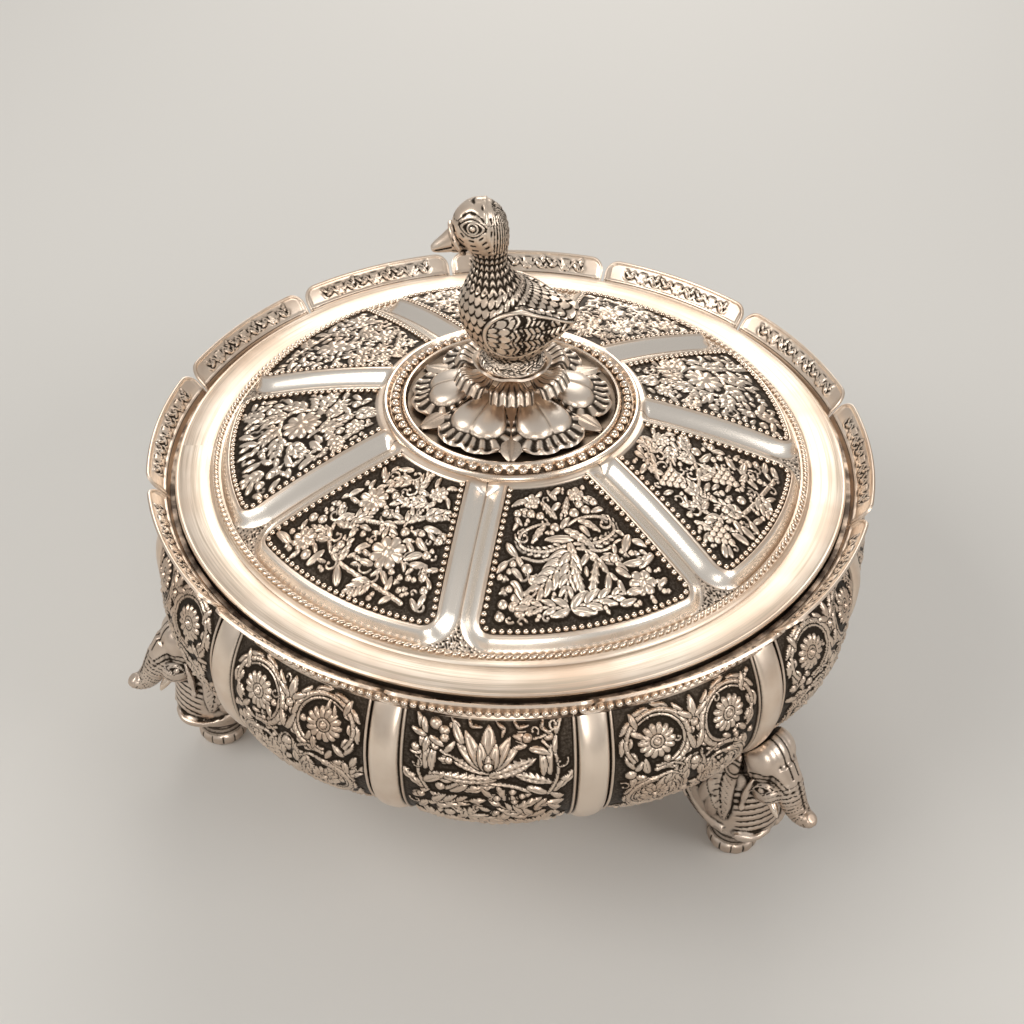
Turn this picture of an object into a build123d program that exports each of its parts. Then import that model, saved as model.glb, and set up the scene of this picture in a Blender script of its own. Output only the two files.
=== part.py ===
"""Paan box: a twelve-lobed bowl on three elephant feet, with a lift-off lid and a tray of seven cups.

Millimetres. The origin is on the box axis at table height, +Z is up and -Y is the front.
Azimuths are degrees from the front, positive towards +X.
"""

import os
from math import cos, degrees, pi, radians, sin

from build123d import *

os.makedirs("parts", exist_ok=True)

# Bowl
RIM_HEIGHT = 114.0  # face of the lid's border above the table
MOUTH_DROP = 7.0  # from the border's face down to the top edge of the bowl's wall
MOUTH_RADIUS = 118.0
BELLY_HEIGHT = 84.0  # where the bowl is widest
BELLY_OVERHANG = 9.6  # how far the belly stands out past the mouth
BASE_HEIGHT = 42.0  # flat underside of the bowl
BASE_RADIUS = 66.0
BELLY_SQUARENESS = 2.5  # exponent of the lower wall's superellipse
BOWL_WALL = 1.6
LOBES = 12
FIRST_FLUTE_AZIMUTH = 12.35
FLUTE_HALF_ANGLE = 3.4
FLUTE_RISE = 1.5
LOBE_BULGE = 2.5
MOUTH_BULGE = 0.5
LOBE_FLATS = 3  # flats across a lobe
ROSETTE_RADIUS = 5.0  # of the flower heads chased on lobes and panels
ROSETTE_RISE = 1.3
ROSETTE_SINK = 0.9
ROSETTE_SIDES = 5
ROSETTE_SPREAD = 0.23  # of a lobe or panel, from its middle
ROSETTE_SHARES = (0.28, 0.56)  # up the upper wall, below and above a flower

# Mouth ring, bead wire and petal gallery
MOUTH_RING_WALL = 2.4
MOUTH_RING_GAP = 0.3
LEDGE_WIDTH = 5.2
LEDGE_DROP = 11.5  # from the border's face
LEDGE_THICKNESS = 2.0
GALLERY_INSET = 1.3  # from the mouth's outside to the band's inside
GALLERY_WALL = 0.9
PETAL_REACH = 7.4  # how far a petal leans out over its band
PETAL_RISE = 4.9
PETAL_WALL = 1.1
NOTCH_WIDTH = 2.0
PETAL_CORNER = 3.4
BEAD_WIRE_SIZE = 2.4
BEAD_WIRE_RISE = 0.2  # above the bowl's edge
WIRE_GAP = 0.02
RING_FLATS = 48  # flats round every full ring

# Lid
LID_SHEET = 1.2
BORDER_GAP = 0.3  # between the lid's edge and the gallery
DOME_GAP = 0.1  # between the dome's foot and the border
ROPE_MARGIN = 0.75  # of the seat, inside the rope
ROPE_SIZE = 1.9
ROPE_SEAT_RISE = 1.2
BEZEL_DEPTH = 6.0
BEZEL_WALL = 1.6
LID_CLEARANCE = 0.3
BORDER_WIDTH = 15.5
PANEL_FOOT_RISE = 1.0
PANEL_WALL_LEAN = 2.2  # of the panels' outer wall
PANEL_SHOULDER_RISE = 5.4
PANEL_CROWN = 1.4  # how far the raised panels bow above a straight slope
DOME_TOP_RADIUS = 44.0
DOME_TOP_RISE = 21.7
DOME_CENTRE_SHEET = 2.0
SPLIT_DEPTH = 3.4
SPLIT_HALF_WIDTH = 5.6
CORNER_CUT = 9.5  # how far the panels' rounded corners reach along edge and groove
PANEL_SPANS = [50.0, 44.0, 43.0, 40.0, 44.0, 43.0, 46.0, 50.0]
FIRST_SPLIT_AZIMUTH = -9.5
POCKET_MARGIN = 6.0
POCKET_INSET = 5.0
POCKET_FLATS = 4

# Lotus mount and duck
CENTRE_RING_RADIUS = 43.4
CENTRE_RING_WIDTH = 1.4
CENTRE_RING_RISE = 2.0
CENTRE_BEAD_RADIUS = 39.7
CENTRE_BEAD_SIZE = 3.0
LOTUS_RADIUS = 34.5
LOTUS_RISE = 10.0
PETAL_AZIMUTHS = [0, 60, 120, 180, 240, 300]
HEART_PETAL = [0.8, 0.84, 0.97, 1.0, 0.97, 0.84]  # outline from one leaf to the next
LEAF_OVERHANG = 0.8
LEAF_HALF_WIDTH = 4.6
LEAF_RISE = 3.0
UPPER_LOTUS_RADIUS = 21.0
UPPER_LOTUS_RISE = 6.0
FLUTED_PETAL = [1.0, 0.93, 0.97, 0.82, 0.97, 0.93]
COLLAR_RADIUS = 12.6
COLLAR_RISE = 1.6
SCALLOP = [1.0, 0.92, 0.92]
DUCK_HEIGHT = 60.0  # from the collar to the crown of the head
DUCK_FLATS = 12
STUD_RADIUS = 2.5
STUD_CLEARANCE = 0.25
THREAD_CLEARANCE = 0.05
STUD_GRIP = 15.0  # thread inside the duck
NUT_WIDTH = 8.0
NUT_HEIGHT = 4.0
WASHER_RADIUS = 6.0
WASHER_THICKNESS = 0.8
WASHER_FLATS = 12

# Elephant feet
FOOT_AZIMUTHS = {"right": 46.0, "back": 166.0, "left": 286.0}
FOOT_INSET = 14.1  # from the belly's outside in to the foot's centre
ELEPHANT_HEIGHT = 62.0
FOOT_RADIUS = 9.5
FOOT_HEIGHT = 4.6
FOOT_CHAMFER = 1.2
ANKLE_RADIUS = 7.8
ANKLE_HEIGHT = 11.0
FOOT_FLATS = 12
HEAD_HALF_WIDTH = 9.8
HEAD_HALF_HEIGHT = 12.0
HEAD_FLATS = 12
TRUNK_FLATS = 8
BOWL_GAP = 0.3
FOOT_STUD_INSET = 18.5  # from the foot's centre
FOOT_STUD_RADIUS = 2.0
FOOT_STUD_DEPTH = 12.0
FOOT_BOSS_RADIUS = 6.0
FOOT_BOSS_RISE = 7.5  # above the flat underside
FOOT_NUT_WIDTH = 7.0
FOOT_NUT_HEIGHT = 3.2

# Tray and cups
TRAY_THICKNESS = 1.5
TRAY_CLEARANCE = 0.5
CUP_SIDES = 8
CUP_RING_RADIUS = 69.0
CUP_WIDTH = 48.0  # across flats, where the cup passes the tray
CUP_BASE_WIDTH = 38.5
CUP_DEPTH = 34.0
CUP_WALL = 1.2
CUP_LIP = 2.6
CUP_CLEARANCE = 0.4
CUP_LID_RISE = 6.0
CUP_LID_TOP_WIDTH = 20.0
CUP_SPIGOT_DEPTH = 4.0
CUP_SPIGOT_CLEARANCE = 0.9
KNOB_WIDTH = 8.0
KNOB_HEIGHT = 8.0
LOOP_RADIUS = 9.0
LOOP_WIRE = 2.4
LOOP_CENTRE = 92.0

FLAT_TOLERANCE = 1e-6

mouth_height = RIM_HEIGHT - MOUTH_DROP
belly_radius = MOUTH_RADIUS + BELLY_OVERHANG
ring_top = RIM_HEIGHT - LID_SHEET
ring_outer = MOUTH_RADIUS - BOWL_WALL - MOUTH_BULGE - MOUTH_RING_GAP
ring_bore = ring_outer - MOUTH_RING_WALL
ledge_inner = ring_bore - LEDGE_WIDTH
ledge_height = RIM_HEIGHT - LEDGE_DROP
gallery_inner = MOUTH_RADIUS - GALLERY_INSET
border_radius = gallery_inner - BORDER_GAP
border_inner = border_radius - BORDER_WIDTH
panel_foot = border_inner - DOME_GAP
panel_shoulder = panel_foot - PANEL_WALL_LEAN
rope_radius = border_inner + ROPE_MARGIN + ROPE_SIZE / 2
foot_centre = belly_radius - FOOT_INSET
foot_stud_centre = foot_centre - FOOT_STUD_INSET
foot_boss_height = BASE_HEIGHT + FOOT_BOSS_RISE


def placed(radius, azimuth, height=0.0):
    """Point at a radius and an azimuth, at a height above the table."""
    return Vector(radius * sin(radians(azimuth)), -radius * cos(radians(azimuth)), height)


def belly_point(angle, inset=0.0, lift=0.0):
    """Radius and height on the lower wall, from 0 degrees at the belly to 90 at the flat base."""
    power = 2 / BELLY_SQUARENESS
    across = cos(radians(angle)) ** power if angle < 90 else 0.0
    down = sin(radians(angle)) ** power
    reach = belly_radius - BASE_RADIUS
    drop = BELLY_HEIGHT - BASE_HEIGHT
    return BASE_RADIUS + reach * across - inset, BELLY_HEIGHT - (drop - lift) * down


def shoulder_point(share):
    """Radius and height on the upper wall, from 0 at the belly to 1 at the mouth."""
    radius = belly_radius - (belly_radius - MOUTH_RADIUS) * share**2
    return radius, BELLY_HEIGHT + (mouth_height - BELLY_HEIGHT) * share


def lobed_ring(radius, height, bulge):
    """Points of the bowl's outline at one height: broad lobes with a narrow flute between."""
    crease = radius - bulge
    pitch = 360 / LOBES
    lobe_span = pitch - 2 * FLUTE_HALF_ANGLE
    outline = []
    for lobe in range(LOBES):
        rib = FIRST_FLUTE_AZIMUTH + lobe * pitch
        outline.append(placed(crease, rib - FLUTE_HALF_ANGLE, height))
        outline.append(placed(crease + FLUTE_RISE * bulge / LOBE_BULGE, rib, height))
        for flat in range(LOBE_FLATS):
            share = flat / LOBE_FLATS
            swell = bulge * 4 * share * (1 - share)
            azimuth = rib + FLUTE_HALF_ANGLE + share * lobe_span
            outline.append(placed(crease + swell, azimuth, height))
    return outline


def shoulder_ring(share, inset=0.0):
    """Outline of the upper wall, from 0 at the belly to 1 at the mouth."""
    radius, height = shoulder_point(share)
    bulge = MOUTH_BULGE + (LOBE_BULGE - MOUTH_BULGE) * (1 - share**2)
    return lobed_ring(radius - inset, height, bulge)


def belly_ring(angle, inset=0.0, lift=0.0):
    """Outline of the lower wall, from 0 degrees at the belly to 90 at the flat base."""
    radius, height = belly_point(angle, inset, lift)
    return lobed_ring(radius, height, LOBE_BULGE * radius / belly_radius)


def oval_ring(centre, half_across, half_deep, flats, across=(1, 0, 0), deep=(0, 1, 0)):
    """Points round an oval on two given directions."""
    turns = [2 * pi * step / flats for step in range(flats)]
    right, up = Vector(*across).normalized(), Vector(*deep).normalized()
    return [
        Vector(*centre) + right * (half_across * cos(turn)) + up * (half_deep * sin(turn))
        for turn in turns
    ]


def faceted(rings):
    """Closed solid of flat facets over rings of points, given from one end to the other."""
    faces = [Face(Wire.make_polygon(ring)) for ring in (rings[0], rings[-1])]
    for lower, upper in zip(rings, rings[1:]):
        for here in range(len(lower)):
            there = (here + 1) % len(lower)
            a, b, c, d = lower[here], lower[there], upper[there], upper[here]
            twist = (b - a).cross(d - a).normalized().dot(c - a)
            if abs(twist) < FLAT_TOLERANCE:
                faces.append(Face(Wire.make_polygon([a, b, c, d])))
            else:
                faces.append(Face(Wire.make_polygon([a, b, c])))
                faces.append(Face(Wire.make_polygon([a, c, d])))
    return Solid(Shell(faces))


def flat_ring(profile):
    """Ring of flat facets that carries a profile of radius and height round the axis."""
    turns = [FIRST_FLUTE_AZIMUTH + 360 * step / RING_FLATS for step in range(RING_FLATS)]
    sections = [[placed(radius, turn, height) for radius, height in profile] for turn in turns]
    faces = []
    for this, after in zip(sections, sections[1:] + sections[:1]):
        for here in range(len(profile)):
            there = (here + 1) % len(profile)
            faces.append(Face(Wire.make_polygon([this[here], this[there], after[there], after[here]])))
    return Solid(Shell(faces))


def round_ring(radius, height):
    """Points of a full ring at one height, in step with the flat rings."""
    turns = [FIRST_FLUTE_AZIMUTH + 360 * step / RING_FLATS for step in range(RING_FLATS)]
    return [placed(radius, turn, height) for turn in turns]


def petal_ring(radius, height, shares):
    """Outline of a flower of six petals, from shares of its radius across one petal."""
    step = 360 / (len(PETAL_AZIMUTHS) * len(shares))
    return [
        placed(radius * share, azimuth + place * step, height)
        for azimuth in PETAL_AZIMUTHS
        for place, share in enumerate(shares)
    ]


def eight_sided(centre, width, height):
    """Points of an octagon across flats, at one height."""
    corner = width / 2 / cos(pi / CUP_SIDES)
    turns = [pi / CUP_SIDES * (2 * step + 1) for step in range(CUP_SIDES)]
    return [Vector(centre.X + corner * cos(t), centre.Y + corner * sin(t), height) for t in turns]


def rosette(low, high, azimuth, swell=0.0):
    """Flower head on a wall or slope, between two points of its profile given as radius and height."""
    foot, head = placed(low[0], azimuth, low[1]), placed(high[0], azimuth, high[1])
    rise = (head - foot).normalized()
    across = placed(1, azimuth + 90)
    outward = across.cross(rise)
    centre = (foot + head) / 2 + placed(swell, azimuth)
    base, crown = centre - outward * ROSETTE_SINK, centre + outward * ROSETTE_RISE
    rings = [oval_ring(base, ROSETTE_RADIUS, ROSETTE_RADIUS, ROSETTE_SIDES, across, rise)]
    rings.append(oval_ring(crown, ROSETTE_RADIUS / 2, ROSETTE_RADIUS / 2, ROSETTE_SIDES, across, rise))
    return faceted(rings)


SHOULDER_SHARES = [1.0, 0.55]
BELLY_ANGLES = [0, 22, 42, 64, 90]

# Bowl: raised sheet with twelve lobes, and a boss inside over each foot for its nut
stud_places = [placed(foot_stud_centre, azimuth) for azimuth in FOOT_AZIMUTHS.values()]
with BuildPart() as bowl:
    add(faceted([*map(shoulder_ring, SHOULDER_SHARES), *map(belly_ring, BELLY_ANGLES)]))
    # Three flower heads on every lobe, two on the upper wall and one on the lower
    turn_aside = ROSETTE_SPREAD * (360 / LOBES - 2 * FLUTE_HALF_ANGLE)
    swell = -4 * LOBE_BULGE * ROSETTE_SPREAD**2
    for lobe in range(LOBES):
        lobe_middle = FIRST_FLUTE_AZIMUTH + (lobe + 0.5) * 360 / LOBES
        for azimuth in (lobe_middle - turn_aside, lobe_middle + turn_aside):
            add(rosette(*map(shoulder_point, ROSETTE_SHARES), azimuth, swell))
        add(rosette(belly_point(BELLY_ANGLES[1]), belly_point(BELLY_ANGLES[0]), lobe_middle))
    hollow = [shoulder_ring(share, BOWL_WALL) for share in SHOULDER_SHARES]
    hollow += [belly_ring(angle, BOWL_WALL, BOWL_WALL) for angle in BELLY_ANGLES]
    add(faceted(hollow), mode=Mode.SUBTRACT)
    with BuildSketch(Plane.XY.offset(foot_boss_height)):
        with Locations(*stud_places):
            RegularPolygon(FOOT_BOSS_RADIUS, 8)
    extrude(until=Until.NEXT, dir=(0, 0, -1))
    with BuildSketch():
        with Locations(*stud_places):
            Circle(FOOT_STUD_RADIUS + STUD_CLEARANCE)
    extrude(amount=BELLY_HEIGHT, mode=Mode.SUBTRACT)

# Mouth ring: stiffens the mouth, carries the tray on its ledge and the lid's border on its top
with BuildPart() as mouth_ring:
    add(
        flat_ring(
            [
                (ledge_inner, ledge_height - LEDGE_THICKNESS),
                (ring_outer, ledge_height - LEDGE_THICKNESS),
                (ring_outer, ring_top),
                (ring_bore, ring_top),
                (ring_bore, ledge_height),
                (ledge_inner, ledge_height),
            ]
        )
    )

# Petal gallery: a band standing on the bowl's edge, its flared top cut into twelve petals
gallery_outer = gallery_inner + GALLERY_WALL
gallery_profile = [
    (gallery_inner, mouth_height),
    (gallery_outer, mouth_height),
    (gallery_outer, RIM_HEIGHT - PETAL_WALL),
    (gallery_outer + PETAL_REACH, RIM_HEIGHT + PETAL_RISE - PETAL_WALL),
    (gallery_inner + PETAL_REACH, RIM_HEIGHT + PETAL_RISE),
    (gallery_inner, RIM_HEIGHT),
]
with BuildPart() as gallery:
    add(flat_ring(gallery_profile))
    for lobe in range(LOBES):
        outward = placed(1, FIRST_FLUTE_AZIMUTH + lobe * 360 / LOBES)
        with BuildSketch(Plane((0, 0, RIM_HEIGHT), x_dir=(0, 0, 1), z_dir=outward)):
            with BuildLine():
                Polyline(
                    (PETAL_RISE + 1, PETAL_CORNER),
                    (PETAL_RISE + 1, -PETAL_CORNER),
                    (NOTCH_WIDTH / 2, -NOTCH_WIDTH / 2),
                    (NOTCH_WIDTH / 2, NOTCH_WIDTH / 2),
                    close=True,
                )
            make_face()
        extrude(amount=belly_radius + PETAL_REACH, mode=Mode.SUBTRACT)

# Bead wire: rests on the bowl's edge and is soldered round the gallery's band
bead_inner = gallery_outer + WIRE_GAP
bead_low = mouth_height + BEAD_WIRE_RISE
with BuildPart() as bead_wire:
    add(
        flat_ring(
            [
                (bead_inner, bead_low),
                (bead_inner + BEAD_WIRE_SIZE, bead_low),
                (bead_inner + BEAD_WIRE_SIZE, bead_low + BEAD_WIRE_SIZE),
                (bead_inner, bead_low + BEAD_WIRE_SIZE),
            ]
        )
    )

# Lid border: flat ring with a raised seat inside it for the rope wire
rope_seat = RIM_HEIGHT + ROPE_SEAT_RISE
with BuildPart() as lid_border:
    add(
        flat_ring(
            [
                (border_inner, ring_top),
                (border_radius, ring_top),
                (border_radius, RIM_HEIGHT),
                (rope_radius + ROPE_SIZE, RIM_HEIGHT),
                (rope_radius + ROPE_SIZE / 2, rope_seat),
                (border_inner, rope_seat),
            ]
        )
    )

# Rope wire: twisted wire soldered on its seat round the dome
rope_inner = rope_radius - ROPE_SIZE / 2
rope_outer = rope_radius + ROPE_SIZE / 2
rope_top = rope_seat + ROPE_SIZE
with BuildPart() as rope_wire:
    rope_profile = [(rope_inner, rope_seat), (rope_outer, rope_seat)]
    rope_profile += [(rope_outer, rope_top), (rope_inner, rope_top)]
    add(flat_ring(rope_profile))

# Bezel: ring under the border that centres the lid in the mouth ring
bezel_outer = ring_bore - LID_CLEARANCE
bezel_inner = bezel_outer - BEZEL_WALL
bezel_foot = ring_top - BEZEL_DEPTH
with BuildPart() as lid_bezel:
    bezel_profile = [(bezel_inner, bezel_foot), (bezel_outer, bezel_foot)]
    bezel_profile += [(bezel_outer, ring_top), (bezel_inner, ring_top)]
    add(flat_ring(bezel_profile))

# Lid dome: raised sheet with eight panels, split by V grooves and hollow behind each panel
foot_height = RIM_HEIGHT + PANEL_FOOT_RISE
shoulder_height = RIM_HEIGHT + PANEL_SHOULDER_RISE
dome_top = RIM_HEIGHT + DOME_TOP_RISE
back_drop = SPLIT_DEPTH + LID_SHEET
slope_radius = (panel_shoulder + DOME_TOP_RADIUS) / 2
slope_height = (shoulder_height + dome_top) / 2 + PANEL_CROWN
inner_foot = panel_shoulder - LID_SHEET
pocket_inner = DOME_TOP_RADIUS + POCKET_INSET
pocket_outer = panel_shoulder - POCKET_INSET
pocket_margin_angle = degrees(POCKET_MARGIN / DOME_TOP_RADIUS)


def panel_height(radius):
    """Height of the raised panels' face at a radius, along the two cones that it is made of."""
    if radius > slope_radius:
        share = (radius - slope_radius) / (panel_shoulder - slope_radius)
        return slope_height + (shoulder_height - slope_height) * share
    share = (slope_radius - radius) / (slope_radius - DOME_TOP_RADIUS)
    return slope_height + (dome_top - slope_height) * share


with BuildPart() as lid_dome:
    dome_face = [
        round_ring(panel_foot, ring_top),
        round_ring(panel_foot, foot_height),
        round_ring(panel_shoulder, shoulder_height),
        round_ring(slope_radius, slope_height),
        round_ring(DOME_TOP_RADIUS, dome_top),
    ]
    add(faceted(dome_face))
    dome_hollow = [
        round_ring(inner_foot, ring_top),
        round_ring(inner_foot, shoulder_height - back_drop),
        round_ring(DOME_TOP_RADIUS, dome_top - back_drop),
        round_ring(CENTRE_BEAD_RADIUS, dome_top - DOME_CENTRE_SHEET),
    ]
    add(faceted(dome_hollow), mode=Mode.SUBTRACT)
    split = FIRST_SPLIT_AZIMUTH
    for span in PANEL_SPANS:
        # Hollow behind the panel that starts at this groove
        start = split + pocket_margin_angle
        sweep = span - 2 * pocket_margin_angle
        pocket = []
        for part in range(POCKET_FLATS + 1):
            azimuth = start + sweep * part / POCKET_FLATS
            pocket.append(
                [
                    placed(pocket_inner, azimuth, panel_height(pocket_inner) - LID_SHEET),
                    placed(pocket_outer, azimuth, panel_height(pocket_outer) - LID_SHEET),
                    placed(pocket_outer, azimuth, ring_top),
                    placed(pocket_inner, azimuth, ring_top),
                ]
            )
        add(faceted(pocket), mode=Mode.SUBTRACT)
        # V groove down the slope
        inner_end = placed(DOME_TOP_RADIUS, split, dome_top)
        outer_end = placed(panel_shoulder, split, shoulder_height)
        slope = outer_end - inner_end
        with BuildSketch(Plane(inner_end, x_dir=placed(1, split - 90), z_dir=slope)):
            with BuildLine():
                Polyline(
                    (0, -SPLIT_DEPTH),
                    (SPLIT_HALF_WIDTH, 0),
                    (SPLIT_HALF_WIDTH, 2 * PANEL_CROWN),
                    (-SPLIT_HALF_WIDTH, 2 * PANEL_CROWN),
                    (-SPLIT_HALF_WIDTH, 0),
                    close=True,
                )
            make_face()
        extrude(amount=slope.length + SPLIT_DEPTH, mode=Mode.SUBTRACT)
        # Rounded corners of the two panels that meet here
        corner_turn = degrees(CORNER_CUT / panel_foot)
        corner_rim = panel_foot + DOME_GAP
        corners = [(corner_rim, split - corner_turn), (corner_rim, split + corner_turn)]
        corners += [(panel_foot - CORNER_CUT, split)]
        floor = [placed(radius, turn, panel_height(radius) - SPLIT_DEPTH) for radius, turn in corners]
        add(faceted([floor, [point + Vector(0, 0, 2 * SPLIT_DEPTH) for point in floor]]), mode=Mode.SUBTRACT)
        # Three flower heads on the panel that starts at this groove
        for share, near in ((0.5 - ROSETTE_SPREAD, 0), (0.5 + ROSETTE_SPREAD, 0), (0.5, 1)):
            reach = (panel_shoulder + slope_radius) / 2 if near == 0 else (slope_radius + DOME_TOP_RADIUS) / 2
            slope_points = [(radius, panel_height(radius)) for radius in (reach + 3, reach - 3)]
            add(rosette(*slope_points, split + share * span))
        split += span
    with BuildSketch(Plane.XY.offset(RIM_HEIGHT)):
        Circle(STUD_RADIUS + STUD_CLEARANCE)
    extrude(amount=2 * DOME_TOP_RISE, mode=Mode.SUBTRACT)

# Centre ring: thin ridge that frames the beads
with BuildPart() as centre_ring:
    ridge_outer = CENTRE_RING_RADIUS
    ridge_inner = CENTRE_RING_RADIUS - CENTRE_RING_WIDTH
    ridge_top = ((ridge_outer + ridge_inner) / 2, dome_top + CENTRE_RING_RISE)
    add(flat_ring([(ridge_inner, dome_top), (ridge_outer, dome_top), ridge_top]))

# Centre beads: string of beads round the lotus, on one wire
with BuildPart() as centre_beads:
    string_inner = CENTRE_BEAD_RADIUS - CENTRE_BEAD_SIZE / 2
    string_outer = CENTRE_BEAD_RADIUS + CENTRE_BEAD_SIZE / 2
    string_top = (CENTRE_BEAD_RADIUS, dome_top + CENTRE_BEAD_SIZE * 0.7)
    add(flat_ring([(string_inner, dome_top), (string_outer, dome_top), string_top]))

# Lower lotus: six heart petals in two steps, with a pointed leaf between each pair
with BuildPart() as lower_lotus:
    rings = []
    for rise, reach in ((0, 0.88), (0.2, 1.0), (0.55, 0.95), (0.6, 0.84), (1.0, 0.72)):
        level = dome_top + rise * LOTUS_RISE
        rings.append(petal_ring(LOTUS_RADIUS * reach, level, HEART_PETAL))
    add(faceted(rings))
    for azimuth in PETAL_AZIMUTHS:
        rings = []
        for rise, reach in ((0, 1.0), (LEAF_RISE, 0.8)):
            tip = LOTUS_RADIUS + LEAF_OVERHANG * (2 * reach - 1)
            spread = degrees(LEAF_HALF_WIDTH * reach / LOTUS_RADIUS)
            level = dome_top + rise
            rings.append(
                [
                    placed(tip, azimuth, level),
                    placed(LOTUS_RADIUS * 0.84, azimuth + spread, level),
                    placed(LOTUS_RADIUS * 0.6, azimuth, level),
                    placed(LOTUS_RADIUS * 0.84, azimuth - spread, level),
                ]
            )
        add(faceted(rings))
    with BuildSketch(Plane.XY.offset(dome_top)):
        Circle(STUD_RADIUS + STUD_CLEARANCE)
    extrude(amount=LOTUS_RISE, mode=Mode.SUBTRACT)

# Upper lotus: six petals of three flutes each
upper_seat = dome_top + LOTUS_RISE
with BuildPart() as upper_lotus:
    rings = []
    for rise, reach in ((0, 0.82), (0.6, 1.0), (1.0, 0.93)):
        level = upper_seat + rise * UPPER_LOTUS_RISE
        rings.append(petal_ring(UPPER_LOTUS_RADIUS * reach, level, FLUTED_PETAL))
    add(faceted(rings))
    with BuildSketch(Plane.XY.offset(upper_seat)):
        Circle(STUD_RADIUS + STUD_CLEARANCE)
    extrude(amount=UPPER_LOTUS_RISE, mode=Mode.SUBTRACT)

# Collar: thin scalloped plate between the lotus and the duck
collar_seat = upper_seat + UPPER_LOTUS_RISE
with BuildPart() as collar:
    rings = []
    for rise, reach in ((0, 1.0), (1, 0.92)):
        level = collar_seat + rise * COLLAR_RISE
        rings.append(petal_ring(COLLAR_RADIUS * reach, level, SCALLOP))
    add(faceted(rings))
    with BuildSketch(Plane.XY.offset(collar_seat)):
        Circle(STUD_RADIUS + STUD_CLEARANCE)
    extrude(amount=COLLAR_RISE, mode=Mode.SUBTRACT)

# Duck: cast finial facing -X on a flared foot, which serves as the lid's handle
duck_seat = collar_seat + COLLAR_RISE
duck_shares = [
    # shares of the height: level, front x, back x, half width
    (0.0, -0.19, 0.19, 0.19),
    (0.06, -0.147, 0.157, 0.147),
    (0.15, -0.215, 0.217, 0.19),
    (0.27, -0.275, 0.25, 0.217),
    (0.38, -0.285, 0.22, 0.21),
    (0.48, -0.25, 0.11, 0.16),
    (0.55, -0.225, 0.01, 0.115),
    (0.623, -0.205, -0.04, 0.082),
    (0.707, -0.257, -0.033, 0.1),
    (0.8, -0.31, -0.03, 0.127),
    (0.9, -0.3, -0.053, 0.117),
    (0.97, -0.25, -0.107, 0.07),
    (1.0, -0.197, -0.157, 0.02),
]


def duck_point(x, y, level):
    """Point on the duck from shares of its height."""
    return Vector(x * DUCK_HEIGHT, y * DUCK_HEIGHT, duck_seat + level * DUCK_HEIGHT)


with BuildPart() as duck:
    rings = []
    for level, front, back, half_width in duck_shares:
        centre = duck_point((front + back) / 2, 0, level)
        half_long = (back - front) / 2 * DUCK_HEIGHT
        rings.append(oval_ring(centre, half_long, half_width * DUCK_HEIGHT, DUCK_FLATS))
    add(faceted(rings))
    # Bill: from a high root to a flat rounded tip, pointing slightly down
    rings = []
    for x, level, half_width, half_deep in (
        (-0.24, 0.785, 0.065, 0.058),
        (-0.34, 0.74, 0.045, 0.036),
        (-0.425, 0.702, 0.02, 0.012),
    ):
        rings.append(
            oval_ring(
                duck_point(x, 0, level),
                half_width * DUCK_HEIGHT,
                half_deep * DUCK_HEIGHT,
                8,
                across=(0, 1, 0),
                deep=(-0.4, 0, 1),
            )
        )
    add(faceted(rings))
    # Tail: flattened and turned up
    rings = []
    for x, level, half_width, half_deep in ((0.1, 0.25, 0.16, 0.12), (0.358, 0.29, 0.05, 0.025)):
        rings.append(
            oval_ring(
                duck_point(x, 0, level),
                half_width * DUCK_HEIGHT,
                half_deep * DUCK_HEIGHT,
                8,
                across=(0, 1, 0),
                deep=(0, 0, 1),
            )
        )
    add(faceted(rings))
    # Wings: folded, standing a little proud of the sides
    for side in (-1, 1):
        rings = []
        for x, level, half_deep, half_thick in (
            (-0.2, 0.33, 0.03, 0.01),
            (-0.12, 0.33, 0.13, 0.05),
            (0.06, 0.3, 0.14, 0.06),
            (0.2, 0.29, 0.08, 0.045),
            (0.32, 0.29, 0.02, 0.012),
        ):
            side_share = 0.2 - abs(x) * 0.35
            rings.append(
                oval_ring(
                    duck_point(x, side * side_share, level),
                    half_thick * DUCK_HEIGHT,
                    half_deep * DUCK_HEIGHT,
                    8,
                    across=(0, 1, 0),
                    deep=(0, 0, 1),
                )
            )
        add(faceted(rings))
    # Threaded hole for the finial stud
    with BuildSketch(Plane.XY.offset(duck_seat)):
        Circle(STUD_RADIUS + THREAD_CLEARANCE)
    extrude(amount=STUD_GRIP + STUD_RADIUS, mode=Mode.SUBTRACT)

# Finial stud, washer and nut: clamp the duck, collar and lotus to the dome
dome_back = dome_top - DOME_CENTRE_SHEET
stud_foot = dome_back - WASHER_THICKNESS - NUT_HEIGHT - STUD_RADIUS
with BuildPart() as finial_stud:
    with BuildSketch(Plane.XY.offset(stud_foot)):
        Circle(STUD_RADIUS)
    extrude(amount=duck_seat + STUD_GRIP - stud_foot)

with BuildPart() as finial_washer:
    with BuildSketch(Plane.XY.offset(dome_back - WASHER_THICKNESS)):
        RegularPolygon(WASHER_RADIUS, WASHER_FLATS)
        Circle(STUD_RADIUS + STUD_CLEARANCE, mode=Mode.SUBTRACT)
    extrude(amount=WASHER_THICKNESS)

with BuildPart() as finial_nut:
    with BuildSketch(Plane.XY.offset(dome_back - WASHER_THICKNESS - NUT_HEIGHT)):
        RegularPolygon(NUT_WIDTH / 2, 6, major_radius=False)
        Circle(STUD_RADIUS + THREAD_CLEARANCE, mode=Mode.SUBTRACT)
    extrude(amount=NUT_HEIGHT)

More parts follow.
